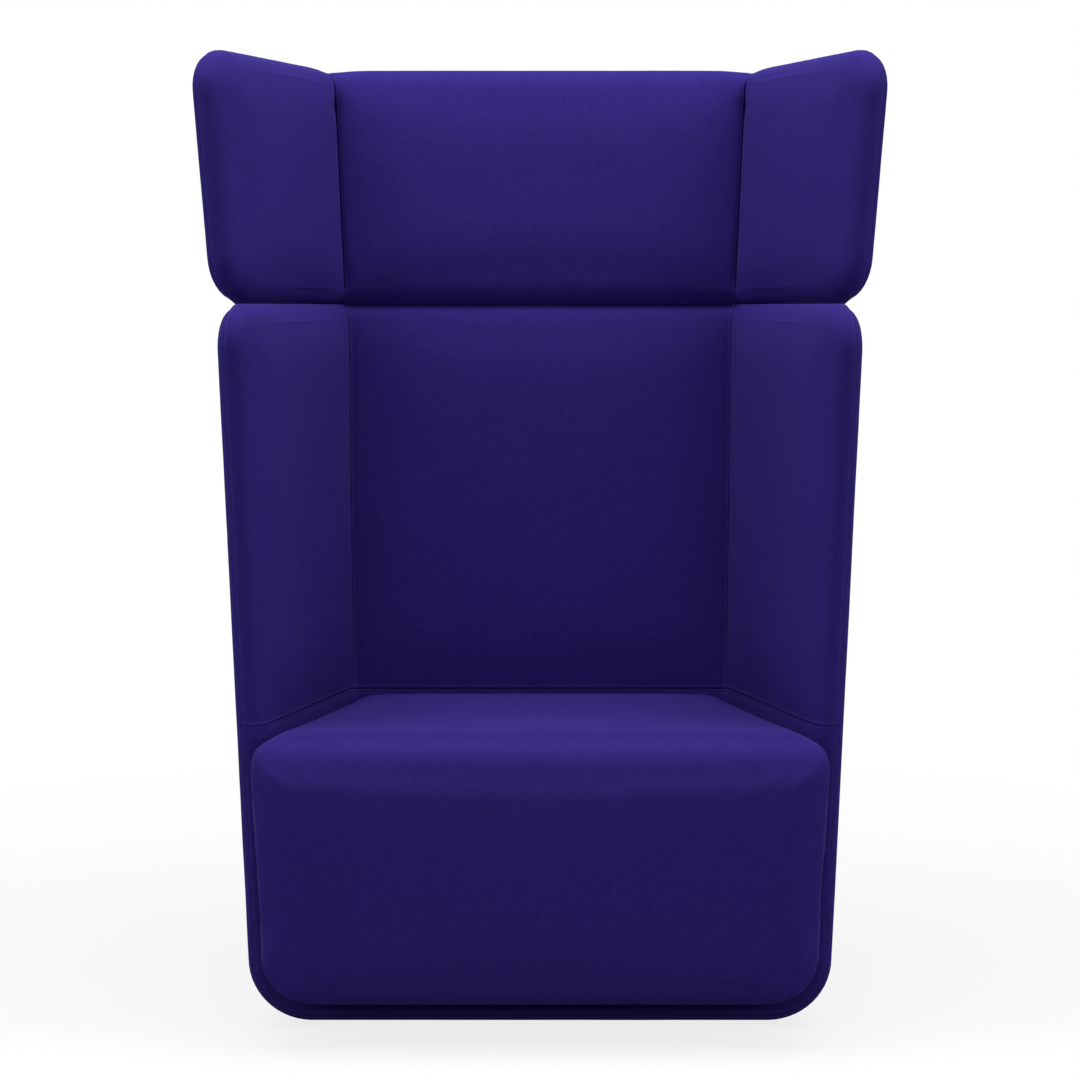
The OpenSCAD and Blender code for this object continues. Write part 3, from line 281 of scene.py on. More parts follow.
def tub_cells(scene, u, v):
    """Middle points of the tub's wall, with the ways inwards, the ways of its edge and its share of swell."""
    tub = scene.chair_tub
    half = tub.wall / 2
    mid_h, edge_r = tub.top - half, tub.front_corner - half
    bend_r, bend_h = tub.under_bend - half, tub.glide + tub.under_bend
    seam_h = seat_seam_height(scene)
    turn = QUARTER * (1 - np.clip(v, 0, 1))
    setback = edge_r * (1 - np.cos(turn))
    bend = QUARTER * np.clip(v - 3, 0, 1)

    def plan(z):
        inset = bend_r * (1 - np.cos(bend))
        return wall_plan(tub_half_w(tub, z) - (half + inset) / math.cos(tub.side_taper), tub.side_taper,
                         back_inner_y(tub, z) + half - inset, rear_corner(scene, z) - half - inset,
                         math.tan(tub.front_lean) * z + half + setback, u)

    seam_z = seam_h - math.tan(scene.chair_seat.fall) * plan(np.full_like(v, seam_h))[1]
    z = mid_h - edge_r + edge_r * np.sin(turn)
    z = np.where(v > 1, part_way(mid_h - edge_r, seam_z, np.clip(v - 1, 0, 1)), z)
    z = np.where(v > 2, part_way(seam_z, bend_h, np.clip(v - 2, 0, 1)), z)
    mid, inward, _, way = placed(scene, plan, z, tub.side_taper, turn, u, v)
    mid[..., 2] -= bend_r * np.sin(bend)
    inward *= np.cos(bend)[..., None]
    inward[..., 2] += np.sin(bend)
    by_seam = eased((z - seam_z) / SEAM_REACH) ** LOW_SEAM_POWER
    return mid, inward, way, np.where(v < 2, by_seam * swell_along(u), 0)


def headrest_cells(scene, u, v):
    """The same for the wall of the headrest."""
    tub, head = scene.chair_tub, scene.chair_headrest
    half = tub.wall / 2
    edge_r = head.corner - half
    top, low = head.top - half, head.low + half
    turn = QUARTER * np.where(v < 1, 1 - v, -np.clip(v - 2, 0, 1))
    setback = edge_r * (1 - np.cos(turn))
    z = np.where(v < 1, top - edge_r * (1 - np.sin(turn)), low + edge_r * (1 + np.sin(turn)))
    z = np.where((v >= 1) & (v <= 2), part_way(top - edge_r, low + edge_r, v - 1), z)

    def plan(z):
        half_w = head.width / 2 + math.tan(head.splay) * head.setback + math.tan(head.flare) * (z - head.low)
        return wall_plan(half_w - half / math.cos(head.splay), head.splay, back_inner_y(tub, z) + half,
                         tub.rear_corner - half,
                         head.setback + math.tan(head.lean) * (z - head.low) + half + setback, u)

    mid, inward, lean, way = placed(scene, plan, z, head.splay, turn, u, v)
    return mid, inward, np.where((v == 3)[..., None], -lean, way), swell_along(u)


# Covers are divided finely beside a seam, where they turn down into it, and evenly elsewhere
SEAM_STEPS = np.array([0, 0.5, 1.1, 1.8, 2.7, 3.6, 4.6, 6, 7.4, 9, 12]) * MM
PITCH = 8 * MM


def divided(marks, at_start=False, at_end=False):
    """Parameters along a row of stretches. marks lists (parameter, distance in metres) pairs."""
    values, places = zip(*marks)
    distances = [places[0] + d for d in (SEAM_STEPS if at_start else (0,))]
    ends = [places[-1] - d for d in (SEAM_STEPS if at_end else (0,))]
    inner = [p for p in places[1:-1] if distances[-1] < p < ends[-1]]
    stops = [distances[-1]] + inner + [ends[-1]]
    for a, b in zip(stops, stops[1:]):
        distances += list(np.linspace(a, b, max(1, round((b - a) / PITCH)) + 1)[1:])
    distances += ends[-2::-1]
    return np.interp(distances, places, values)


def joined(*runs):
    """Parameters of stretches that follow one another, each shared one once."""
    return np.unique(np.round(np.concatenate(runs), 9))


def wall_columns(marks, arc, back):
    """Columns of a side panel up to its seam, of the back panel and of the whole wall, from the marks
    along a side, the length round a rear corner and the length of the back."""
    depth = marks[-1][1]
    side = divided(marks + [(CORNER_SEAM, depth + arc / 2)], False, True)
    across = divided([(CORNER_SEAM, 0), (2, arc / 2), (4, arc / 2 + back),
                      (COLUMNS - CORNER_SEAM, arc + back)], True, True)
    half_round = divided(marks + [(2, depth + arc), (BACK_MIDDLE, depth + arc + back / 2)])
    return side, across, joined(half_round, COLUMNS - half_round)


def cell_block(cells, scene, us, vs):
    """Cells of a block of wall as flat lists, its quads, and the grid of the numbers of its cells."""
    u, v = np.meshgrid(us, vs)
    lists = [array.reshape(len(us) * len(vs), -1) for array in cells(scene, u, v)]
    index = np.arange(u.size).reshape(u.shape)
    return lists, quads_between(index), index


def floor_strip(lists, quads, index, us):
    """Adds the strip along the front of the tub's floor, between the ends of the floor row."""
    row = index[-1]
    inner = [k for k, u in enumerate(us) if u <= FLOOR_STRIP + 1e-9]
    left, right = row[inner], row[::-1][inner]
    span = abs(lists[0][left[0]][0]) * 2
    shares = np.linspace(0, 1, round(span / PITCH / 2))
    rows = [left]
    start = len(lists[0])
    added = [[] for _ in lists]
    for share in shares[1:-1]:
        rows.append(start + np.arange(len(left)))
        start += len(left)
        for k, array in enumerate(lists):
            added[k].append(part_way(array[left], array[right], share))
    rows.append(right)
    lists = [np.concatenate([array] + more) for array, more in zip(lists, added)]
    ways = lists[2]
    ways[index.size:] /= np.linalg.norm(ways[index.size:], axis=1)[:, None]
    grid = np.array(rows)
    return lists, np.concatenate([quads, quads_between(grid)]), grid[:, 0]


def nosed(lists, quads, runs, angles, side, half, crown):
    """Skin of a cover: its face and the noses that wrap round the edge along each run of cells."""
    mid, inward, way, swell = lists
    away = from_places(mid, np.concatenate([mid[run] for run, _ in runs]))[:, None]
    if side > 0:
        more = fuller(half + away, half, crown)
    else:
        more = crown * eased(away / EDGE_ROLL) ** 2
    points = [mid + side * (half + more * swell) * inward]
    faces = [quads]
    lines = []
    count = len(mid)
    for run, closed in runs:
        around = [run]
        for a in angles:
            more = fuller(half * (1 - math.sin(a)), half, crown) * swell[run] if math.cos(a) < 0 else 0
            across, out = more - half * math.cos(a), half * math.sin(a)
            points.append(mid[run] + across * inward[run] + out * way[run])
            around.append(count + np.arange(len(run)))
            count += len(run)
        grid = np.array(around)
        if closed:
            grid = np.concatenate([grid, grid[:, :1]], axis=1)
        faces.append(quads_between(grid))
        lines.append(grid)
    return np.concatenate(points), np.concatenate(faces), lines


def open_edges(faces):
    """Edges that belong to one face only."""
    edges = np.sort(np.stack([faces, np.roll(faces, -1, axis=1)], -1).reshape(-1, 2), axis=1)
    found, uses = np.unique(edges, axis=0, return_counts=True)
    return found[uses == 1]


def point_ways(points, faces):
    """Directions of the surface at its points, from the faces round each."""
    corners = points[faces]
    ways = np.cross(corners[:, 2] - corners[:, 0], corners[:, 3] - corners[:, 1])
    total = np.zeros_like(points)
    for k in range(4):
        np.add.at(total, faces[:, k], ways)
    sizes = np.linalg.norm(total, axis=1)
    return total / np.maximum(sizes, 1e-12)[:, None]


def from_border(points, edges, samples=6):
    """Distance of each point from the nearest of the open edges, measured to samples along each."""
    shares = np.linspace(0, 1, samples)[:, None, None]
    places = part_way(points[edges[:, 0]], points[edges[:, 1]], shares)
    return from_places(points, places.reshape(-1, 3))


def from_places(points, samples):
    """Distance of each point from the nearest of the samples."""
    tree = KDTree(len(samples))
    for k, sample in enumerate(samples):
        tree.insert(sample, k)
    tree.balance()
    return np.array([tree.find(p)[2] for p in points])


def new_object(name, points, faces):
    """A new smooth mesh as an object of the scene."""
    mesh = bpy.data.meshes.new(name)
    mesh.from_pydata(points, [], faces)
    mesh.polygons.foreach_set("use_smooth", [True] * len(mesh.polygons))
    made = bpy.data.objects.new(name, mesh)
    bpy.context.scene.collection.objects.link(made)
    return made


# Simulation of a cover: it starts with this share of its swell, is held along its seams and swells
# against them. Round the edge of a wall it stays stretched, less and less within EDGE_REACH.
START_SHARE = 0.8
CLOTH_FRAMES = 14
CLOTH_SETTINGS = {
    "quality": 3,
    "use_pressure": True,
    "uniform_pressure_force": 4.0,
    "tension_stiffness": 20,
    "compression_stiffness": 20,
    "bending_stiffness": 2,
}
EDGE_REACH = 60 * MM
EDGE_FREEDOM_POWER = 1.5
# Felt that is less free than this is held
LEAST_FREEDOM = 0.01


def swollen(name, points, faces, held, cap):
    """Points of a cover after a short cloth simulation, each moved by its share of cap at most."""
    scene = bpy.context.scene
    trial = new_object(name + "_trial", points.tolist(), faces)
    group = trial.vertex_groups.new(name="held")
    group.add(np.flatnonzero(held).tolist(), 1.0, "REPLACE")
    cloth = trial.modifiers.new("Cloth", "CLOTH")
    cloth.settings.vertex_group_mass = "held"
    for setting, value in CLOTH_SETTINGS.items():
        setattr(cloth.settings, setting, value)
    cloth.settings.effector_weights.gravity = 0
    cloth.point_cache.frame_start = 1
    cloth.point_cache.frame_end = CLOTH_FRAMES
    for number in range(1, CLOTH_FRAMES + 1):
        scene.frame_set(number)
    result = trial.evaluated_get(bpy.context.evaluated_depsgraph_get()).to_mesh()
    moved = np.zeros(len(points) * 3)
    result.vertices.foreach_get("co", moved)
    bpy.data.meshes.remove(trial.data)
    scene.frame_set(1)
    shift = moved.reshape(-1, 3) - points
    reach = np.linalg.norm(shift, axis=1)
    cap = np.maximum(cap, 1e-9)
    limited = cap * np.tanh(reach / cap) / np.maximum(reach, 1e-9)
    return points + shift * limited[:, None]


# Each seed reads the noise this far from the one before
SEED_STEP = (3.7, 1.9, 2.3)
# Height and width of the slow unevenness of a face and how near a seam it starts, and height and width
# of the puckers along a seam and how far they reach
UNEVEN_HEIGHT, UNEVEN_WIDTH, UNEVEN_START = 0.5 * MM, 90 * MM, 30 * MM
PUCKER_HEIGHT, PUCKER_WIDTH, PUCKER_REACH = 0.25 * MM, 16 * MM, 20 * MM
PUCKER_SEED = 5
# Depth and width of the dip at a seam without topstitching, and height and widths of the ridge over the
# allowances and of the groove that the topstitching draws
DIP_DEPTH, DIP_WIDTH = 1.2 * MM, 6 * MM
RIDGE_HEIGHT, RIDGE_WIDTH, GROOVE_WIDTH = 0.45 * MM, 1.5 * MM, 1.0 * MM


def uneven(points, size, seed):
    """Slow unevenness of hand-laid felt, from -1 to 1, with dents as wide as size."""
    offset = Vector([step * seed for step in SEED_STEP])
    return np.array([noise.noise(Vector(p) / size + offset) for p in points])


def seam_profile(cloth, d, plain):
    """Height of a cover at the distance d from its seam: it turns down into the seam, stands up over
    the allowances folded behind it and is drawn in a little by the topstitching."""
    share = np.clip(1 - d / cloth.tuck, 0, 1)
    height = -cloth.tuck * (1 - np.sqrt(1 - share ** 2))
    if plain:
        return height - DIP_DEPTH * np.exp(-(d / DIP_WIDTH) ** 2)
    ridge = np.exp(-((d - cloth.topstitch / 2) / RIDGE_WIDTH) ** 2)
    drawn = np.exp(-((d - cloth.topstitch) / GROOVE_WIDTH) ** 2)
    return height + RIDGE_HEIGHT * (ridge - drawn)


# Depths in millimetres below the highest point of an edge before and after it is pressed flat, and how
# far the two flats press into each other
PRESS_BEFORE = (0, 1.7, 3.5)
PRESS_AFTER = (0, 0, 3.5)
PRESS_IN = 0.15 * MM


def pressed(points, side):
    """Felt pressed flat where the headrest rests on the tub: side is 1 for the tub, -1 for the headrest."""
    edge = TUB_TOP if side > 0 else HEAD_LOW
    depth = side * (edge - points[:, 2]) / MM
    stretch = 1 + side * (REST_LEVEL - edge) / MM / PRESS_BEFORE[-1]
    flat = REST_LEVEL + side * (PRESS_IN - np.interp(depth, PRESS_BEFORE, PRESS_AFTER) * stretch * MM)
    points[:, 2] = np.where(depth < PRESS_BEFORE[-1], flat, points[:, 2])


# A direction that points away from the back by less than this is that of folded skin
FOLDED = 0.1


def outward_ways(points, faces, far):
    """Directions of a skin at its points, away from its back; straight away from it where a sharp corner
    folds the skin."""
    ways = point_ways(points, faces)
    straight = (points - far) / np.maximum(np.linalg.norm(points - far, axis=1), 1e-9)[:, None]
    along = np.einsum("ij,ij->i", ways, straight)
    if along.sum() < 0:
        ways, along = -ways, -along
    return np.where((along < FOLDED)[:, None], straight, ways)


def felt_piece(name, body, nodes, points, faces, far, d, plain, seed, press=0, dents=()):
    """A closed felt and foam piece from its skin and its back, with seams, puckers and unevenness."""
    cloth = bpy.context.scene.chair_cloth
    edges = open_edges(faces)
    count = len(points)
    sides = np.column_stack([edges[:, 0], edges[:, 1], edges[:, 1] + count, edges[:, 0] + count])
    whole = np.concatenate([faces, faces[:, ::-1] + count, sides])
    ways = outward_ways(points, faces, far)
    lift = seam_profile(cloth, d, plain)
    lift += UNEVEN_HEIGHT * uneven(points, UNEVEN_WIDTH, seed) * np.clip(d / UNEVEN_START, 0, 1)
    lift += PUCKER_HEIGHT * uneven(points, PUCKER_WIDTH, seed + PUCKER_SEED) * np.exp(-d / PUCKER_REACH)
    for place, depth, width in dents:
        lift -= depth * np.exp(-(np.linalg.norm(points - place, axis=1) / width) ** 2)
    points = points + ways * lift[:, None]
    if press:
        pressed(points, press)
    ways = outward_ways(points, faces, far)
    make_felt(name, body, nodes, np.concatenate([points, far]).tolist(), whole.tolist())
    return points, ways


def make_felt(name, body, nodes, points, faces):
    """One felt-covered piece that stands for its cover and its foam."""
    piece = new_object(name, points, faces)
    piece.data.validate()
    faced_outwards(piece.data)
    piece.data.materials.append(wool_felt(bpy.context.scene.chair_cloth))
    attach(piece, body)
    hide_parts(*nodes)


def faced_outwards(mesh):
    """Turns all faces of a closed mesh to its outside."""
    made = bmesh.new()
    made.from_mesh(mesh)
    bmesh.ops.recalc_face_normals(made, faces=made.faces)
    if made.calc_volume(signed=True) < 0:
        bmesh.ops.reverse_faces(made, faces=made.faces)
    made.to_mesh(mesh)
    made.free()


# Materials


def add_node(tree, kind, inputs=(), **settings):
    """Adds a node with its settings; each input is a value or a socket to link."""
    node = tree.nodes.new(kind)
    for name, value in settings.items():
        setattr(node, name, value)
    for name, value in dict(inputs).items():
        if isinstance(value, bpy.types.NodeSocket):
            tree.links.new(value, node.inputs[name])
        else:
            node.inputs[name].default_value = value
    return node


def new_material(name):
    """An empty node material, its nodes and the place on the object."""
    made = bpy.data.materials.new(name)
    made.use_nodes = True
    tree = made.node_tree
    tree.nodes.clear()
    return made, tree, add_node(tree, "ShaderNodeTexCoord").outputs["Object"]


def paint(colour):
    """A colour for an input: a socket as it is, a hex code or linear values as an opaque one."""
    if isinstance(colour, bpy.types.NodeSocket):
        return colour
    return (*(srgb(colour) if isinstance(colour, str) else colour), 1.0)


def texture(tree, kind, place, size, **inputs):
    """Noise or Voronoi cells with grains about as wide as size."""
    inputs = {name.capitalize(): value for name, value in inputs.items()}
    return add_node(tree, "ShaderNodeTex" + kind, {"Vector": place, "Scale": 1 / size, **inputs}).outputs[0]


def stretched(tree, place, across, along):
    """A place for a texture of size 1 whose grains are across wide and along long, upright."""
    scale = (1 / across, 1 / across, 1 / along)
    return add_node(tree, "ShaderNodeMapping", {"Vector": place, "Scale": scale}).outputs["Vector"]


def spread(tree, value, low, high, start=0.0, end=1.0, **settings):
    """From low to high while the value goes from start to end."""
    inputs = {"Value": value, "From Min": start, "From Max": end, "To Min": low, "To Max": high}
    return add_node(tree, "ShaderNodeMapRange", inputs, **settings).outputs["Result"]


def ramp(tree, share, *stops):
    """Colour of a share between two stops, each a share and its colour."""
    node = add_node(tree, "ShaderNodeValToRGB", {"Fac": share})
    for element, (position, colour) in zip(node.color_ramp.elements, stops):
        element.position = position
        element.color = paint(colour)
    return node.outputs["Color"]


def blend(tree, share, first, second):
    """Colour between the first one and the second."""
    inputs = {"Fac": share, "Color1": paint(first), "Color2": paint(second)}
    return add_node(tree, "ShaderNodeMixRGB", inputs).outputs["Color"]


def relief(tree, height, strength, depth, below=None):
    """Directions of a surface with a fine relief, which may lie on another one."""
    inputs = {"Height": height, "Strength": strength, "Distance": depth}
    if below:
        inputs["Normal"] = below
    return add_node(tree, "ShaderNodeBump", inputs).outputs["Normal"]


def surfaced(tree, colour, roughness, normal, **more):
    """Ends a material with its surface."""
    more = {name.replace("_", " "): value for name, value in more.items()}
    inputs = {"Base Color": colour, "Roughness": roughness, "Normal": normal, **more}
    surface = add_node(tree, "ShaderNodeBsdfPrincipled", inputs)
    add_node(tree, "ShaderNodeOutputMaterial", {"Surface": surface.outputs["BSDF"]})


def wool_felt(cloth):
    """Wool felt, milled from a plain weave and piece dyed: short matt fibres that catch light at the
    edges, no gloss, faint clouds where the dye took more, and a fine random fleck."""
    name = "wool_felt_indigo"
    if name in bpy.data.materials:
        return bpy.data.materials[name]
    made, tree, place = new_material(name)
    # The fibres are 0.03 mm thick, too fine to show, so their tufts are drawn 2.5 mm wide
    tufts = texture(tree, "Noise", place, 2.5 * MM, detail=4.0, roughness=0.7)
    # Clouds of the dye are a hand wide
    clouds = texture(tree, "Noise", place, 70 * MM, detail=3.0)
    # Fibre knots stand 7 mm apart
    knots = texture(tree, "Noise", place, 7 * MM, detail=5.0, roughness=0.75)
    dye = ramp(tree, knots, (0.32, cloth.shade), (0.68, cloth.felt))
    flecked = blend(tree, spread(tree, tufts, low=0.0, high=0.35, start=0.5, end=0.75), dye, cloth.fleck)
    clouded = blend(tree, spread(tree, clouds, low=0.0, high=0.3, start=0.3, end=0.7), flecked, cloth.felt)
    nap = relief(tree, tufts, strength=0.35, depth=0.6 * MM)
    pile = relief(tree, knots, strength=0.2, depth=1.0 * MM, below=nap)
    surfaced(tree, clouded, 0.92, pile, IOR=1.45, Specular_IOR_Level=0.1, Sheen_Weight=0.025,
             Sheen_Roughness=0.35, Sheen_Tint=(0.5, 0.42, 1.0, 1.0))
    return made


def sewing_thread(cloth):
    """Bonded polyester thread, twisted and dyed to the felt: a little smoother and glossier than it."""
    made, tree, place = new_material("polyester_sewing_thread")
    # The plies of the twist are 0.25 mm wide
    twist = texture(tree, "Noise", place, 0.25 * MM, detail=2.0)
    plies = relief(tree, twist, strength=0.3, depth=0.1 * MM)
    surfaced(tree, blend(tree, twist, cloth.yarn, cloth.fleck), 0.6, plies, IOR=1.5, Sheen_Weight=0.15)
    return made


def birch_plywood():
    """Birch plywood, peeled veneers pressed and sanded: pale, with a long faint figure and fine pores."""
    made, tree, place = new_material("birch_plywood_sanded")
    # Figure of peeled birch: 9 mm wide streaks, some 150 mm long
    figure = texture(tree, "Noise", stretched(tree, place, 9 * MM, 150 * MM), 1.0, detail=5.0, distortion=0.4)
    # Pores are 0.1 mm wide and drawn 0.6 mm wide to show
    pores = texture(tree, "Noise", stretched(tree, place, 0.6 * MM, 12 * MM), 1.0)
    wood = ramp(tree, figure, (0.35, "#B98F5A"), (0.65, "#D8B888"))
    surfaced(tree, wood, 0.6, relief(tree, pores, strength=0.2, depth=0.2 * MM), IOR=1.5)
    return made


def drawn_steel():
    """Zinc plated drawn steel: grey, softly bright, with fine lines along the draw and dull patches."""
    made, tree, place = new_material("steel_drawn_zinc_plated")
    # Draw lines 0.8 mm apart, dull patches 15 mm wide
    lines = texture(tree, "Noise", place, 0.8 * MM, detail=2.0)
    patches = texture(tree, "Noise", place, 15 * MM, detail=3.0)
    surfaced(tree, blend(tree, patches, "#9A9C9E", "#B6B8BA"), spread(tree, patches, low=0.28, high=0.5),
             relief(tree, lines, strength=0.1, depth=0.05 * MM), Metallic=1.0)
    return made


def moulded_nylon():
    """Black nylon, injection moulded with a spark-eroded texture: dark, half matt, scuffed where it
    touches the floor."""
    made, tree, place = new_material("nylon_moulded_black")
    # Eroded texture with 0.5 mm grains, scuffs 4 mm wide
    grains = texture(tree, "Voronoi", place, 0.5 * MM)
    scuffs = texture(tree, "Noise", place, 4 * MM, detail=4.0)
    surfaced(tree, blend(tree, scuffs, "#161618", "#2B2B2E"), 0.55,
             relief(tree, grains, strength=0.25, depth=0.05 * MM), IOR=1.53)
    return made


def lining_cloth():
    """Black spunbond polypropylene lining, bonded in a grid of small dots: matt with a regular dimple."""
    made, tree, place = new_material("spunbond_lining_black")
    # Bond points 1.6 mm apart
    dots = texture(tree, "Voronoi", place, 1.6 * MM, randomness=0.15)
    tone = blend(tree, spread(tree, dots, low=0.25, high=0.8), "#0E0E10", "#26262A")
    surfaced(tree, tone, 0.9, relief(tree, dots, strength=0.5, depth=0.2 * MM), IOR=1.49,
             Specular_IOR_Level=0.2, Sheen_Weight=0.1)
    return made


# Covers of the tub


def tub_columns(scene):
    tub = scene.chair_tub
    depth = (tub.floor_depth + math.tan(tub.back_lean) * tub.top / 2) / math.cos(tub.side_taper)
    back = tub.floor_width - 2 * math.sin(tub.side_taper) * depth
    return wall_columns([(0, 0), (FLOOR_STRIP, depth * FLOOR_STRIP), (1, depth)], TUB_ARC, back)


# Turns round the edge of a wall from each of its faces to the seam, finer towards the seam, in degrees
# for a seam that lies at SEAM_AT
SEAM_AT = 60
INNER_TURNS = (168, 156, 144, 132, 120, 110, 102, 96, 90, 84, 79, 75, 71.5, 69, 66.5, 64.5, 63, 61.5, SEAM_AT)
OUTER_TURNS = (8, 16, 24, 32, 38, 42, 45, 48, 51, 53.5, 55.5, 57, 58.5, SEAM_AT)
# The inner covers of the tub swell by this much at most
SIDE_CAP, BACK_CAP = 3 * MM, 4 * MM


def inner_angles(cloth):
    """Turns from the inner face to the seam, where the sewn covers have it."""
    return [part_way(cloth.seam_turn, math.pi, (t - SEAM_AT) / (180 - SEAM_AT)) for t in INNER_TURNS]


def outer_angles(cloth):
    """The same from the outer face."""
    return [cloth.seam_turn * t / SEAM_AT for t in OUTER_TURNS]


def make_wall_piece(pieces, body, cells, us, vs, runs_of, side, angles, plain, seed, crown=None,
                    strip=False, cap=0.0, dents=(), press=0):
    """Makes one cover of a wall with its foam, or its left and right ones. pieces gives the name and the
    nodes of each. Returns the skin and its directions for each, the points along its edge and its rows."""
    scene = bpy.context.scene
    half, cloth = scene.chair_tub.wall / 2, scene.chair_cloth
    lists, quads, index = cell_block(cells, scene, us, vs)
    front = None
    if strip:
        lists, quads, front = floor_strip(lists, quads, index, us)
    runs = runs_of(index, front)
    full = cloth.crown if crown is None else crown
    start = full if (not cap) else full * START_SHARE
    points, faces, lines = nosed(lists, quads, runs, angles, side, half, start)
    far, _, _ = nosed(lists, quads, runs, angles, side, half - cloth.pad, 0)
    d = from_border(points, open_edges(faces))
    if cap:
        if np.einsum("ij,ij->i", point_ways(points, faces), points - far).sum() < 0:
            faces = faces[:, ::-1]
        away = from_places(points, points[len(lists[0]):])
        free = np.clip(away / EDGE_REACH, 0, 1) ** EDGE_FREEDOM_POWER
        held = (d < cloth.topstitch) | (free < LEAST_FREEDOM)
        points = swollen(pieces[0][0], points, faces.tolist(), held, cap * free)
    skins = []
    for k, (name, nodes) in enumerate(pieces):
        turned = np.array([1 - 2 * k, 1, 1])
        skins.append(felt_piece(name, body, nodes, points * turned, faces, far * turned, d, plain, seed + k,
                                press, [(place * turned, *size) for place, *size in dents]))
    return skins, lines, index


def left_side(index, front):
    """The run of a left panel: up its front edge and along its top."""
    return [(np.concatenate([index[::-1, 0], index[0, 1:]]), False)]


# Lines of topstitching, each with its points and the directions there
SEWN_LINES = []


def sewn(skins, row):
    """Notes a line of topstitching along a row of points of a cover, or of its left and right ones."""
    for points, ways in skins:
        SEWN_LINES.append((points[row], ways[row]))


def over_edge(index, grid, column, turns):
    """The points of a column of a cover, over its top edge and down to its seam."""
    return np.concatenate([grid[turns:0:-1, len(index) - 1 + column], index[:, column]])


class CHAIR_OT_tub(bpy.types.Operator):
    """Make the felt covers of the tub with the foam under them"""
    bl_idname = "chair.tub_covers"
    bl_label = "Tub covers"

    def execute(self, context):
        scene = context.scene
        cloth = scene.chair_cloth
        to_corner, across_back, whole = tub_columns(scene)
        rows = [(0, 0), (1, TUB_EDGE_ARC), (2, scene.chair_tub.top - seat_seam_height(scene))]
        down = divided(rows, False, True)
        below = divided(LOW_ROWS, True, False)
        inner, outer = inner_angles(cloth), outer_angles(cloth)

        def outer_run(index, front):
            return [(np.concatenate([index[::-1, 0], index[0, 1:], index[1:, -1], front[-2:0:-1]]), True)]

        def lower_run(index, front):
            return [(np.concatenate([index[:, -1], front[-2:0:-1], index[::-1, 0]]), False)]

        skins, grids, index = make_wall_piece(
            [("tub_outer_felt", ("outer_cover", "outer_foam"))], "chair", tub_cells, whole,
            joined(divided(rows), divided(LOW_ROWS)), outer_run, -1, outer, True, 1, strip=True)
        sewn(skins, grids[0][OUTER_STITCHED])
        skins, grids, index = make_wall_piece(
            [("tub_side_left_felt", ("inner_cover_left", "side_foam_left")),
             ("tub_side_right_felt", ("inner_cover_right", "side_foam_right"))], "chair", tub_cells,
            to_corner, down, left_side, 1, inner, False, 2, crown=cloth.bulge, cap=SIDE_CAP, press=1)
        edge = grids[0]
        sewn(skins, edge[INNER_STITCHED])
        sewn(skins, over_edge(index, edge, len(to_corner) - 1 - STITCHED, INNER_STITCHED))
        sewn(skins, np.concatenate([edge[INNER_STITCHED:0:-1, STITCHED], index[-1 - STITCHED]]))
        skins, grids, index = make_wall_piece(
            [("tub_back_felt", ("inner_cover_back", "back_foam"))], "chair", tub_cells, across_back, down,
            lambda index, front: [(index[0], False)], 1, inner, False, 4, crown=cloth.bulge, cap=BACK_CAP,
            press=1)
        for column in (STITCHED, len(across_back) - 1 - STITCHED):
            sewn(skins, np.concatenate([grids[0][INNER_STITCHED:0:-1, column], index[:, column]]))
        sewn(skins, index[-1 - STITCHED])
        skins, grids, index = make_wall_piece(
            [("tub_lower_felt", ("lower_lining", "lower_foam"))], "chair", tub_cells, whole, below, lower_run,
            1, inner, False, 5, crown=0, strip=True)
        sewn(skins, grids[0][INNER_STITCHED])
        sewn(skins, index[STITCHED])
        return {"FINISHED"}


# A stitch is a short thread with four sides between its two ends, which dive into the felt
STITCH_POINTS = 10
STITCH_FACES = ([[0, 2 + (k + 1) % 4, 2 + k] for k in range(4)]
                + [[2 + k, 2 + (k + 1) % 4, 6 + (k + 1) % 4, 6 + k] for k in range(4)]
                + [[1, 6 + k, 6 + (k + 1) % 4] for k in range(4)])
# Share of its pitch that a stitch lies on the felt, the shares of that at its ends and bends, and how
# deep and how high it lies there, in radii of the thread
STITCH_SHARE = 0.82
STITCH_ENDS, STITCH_BENDS = (0, 1), (0.2, 0.8)
STITCH_DEPTH, STITCH_HEIGHT = 0.8, 0.5


class CHAIR_OT_stitches(bpy.types.Operator):
    """Sew the topstitching that holds the seams of the tub flat"""
    bl_idname = "chair.topstitching"
    bl_label = "Topstitching"

    def execute(self, context):
        if not SEWN_LINES:
            raise RuntimeError("The covers are made before they are topstitched")
        cloth = context.scene.chair_cloth
        points, faces = [], []
        for line, ways in SEWN_LINES:
            first = len(points)
            points += stitches_along(line, ways, cloth)
            faces += [[STITCH_POINTS * k + c for c in face] for k in range(first, len(points))
                      for face in STITCH_FACES]
        piece = new_object("tub_topstitching", np.array(points).reshape(-1, 3).tolist(), faces)
        faced_outwards(piece.data)
        piece.data.materials.append(sewing_thread(cloth))
        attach(piece, "chair")
        return {"FINISHED"}


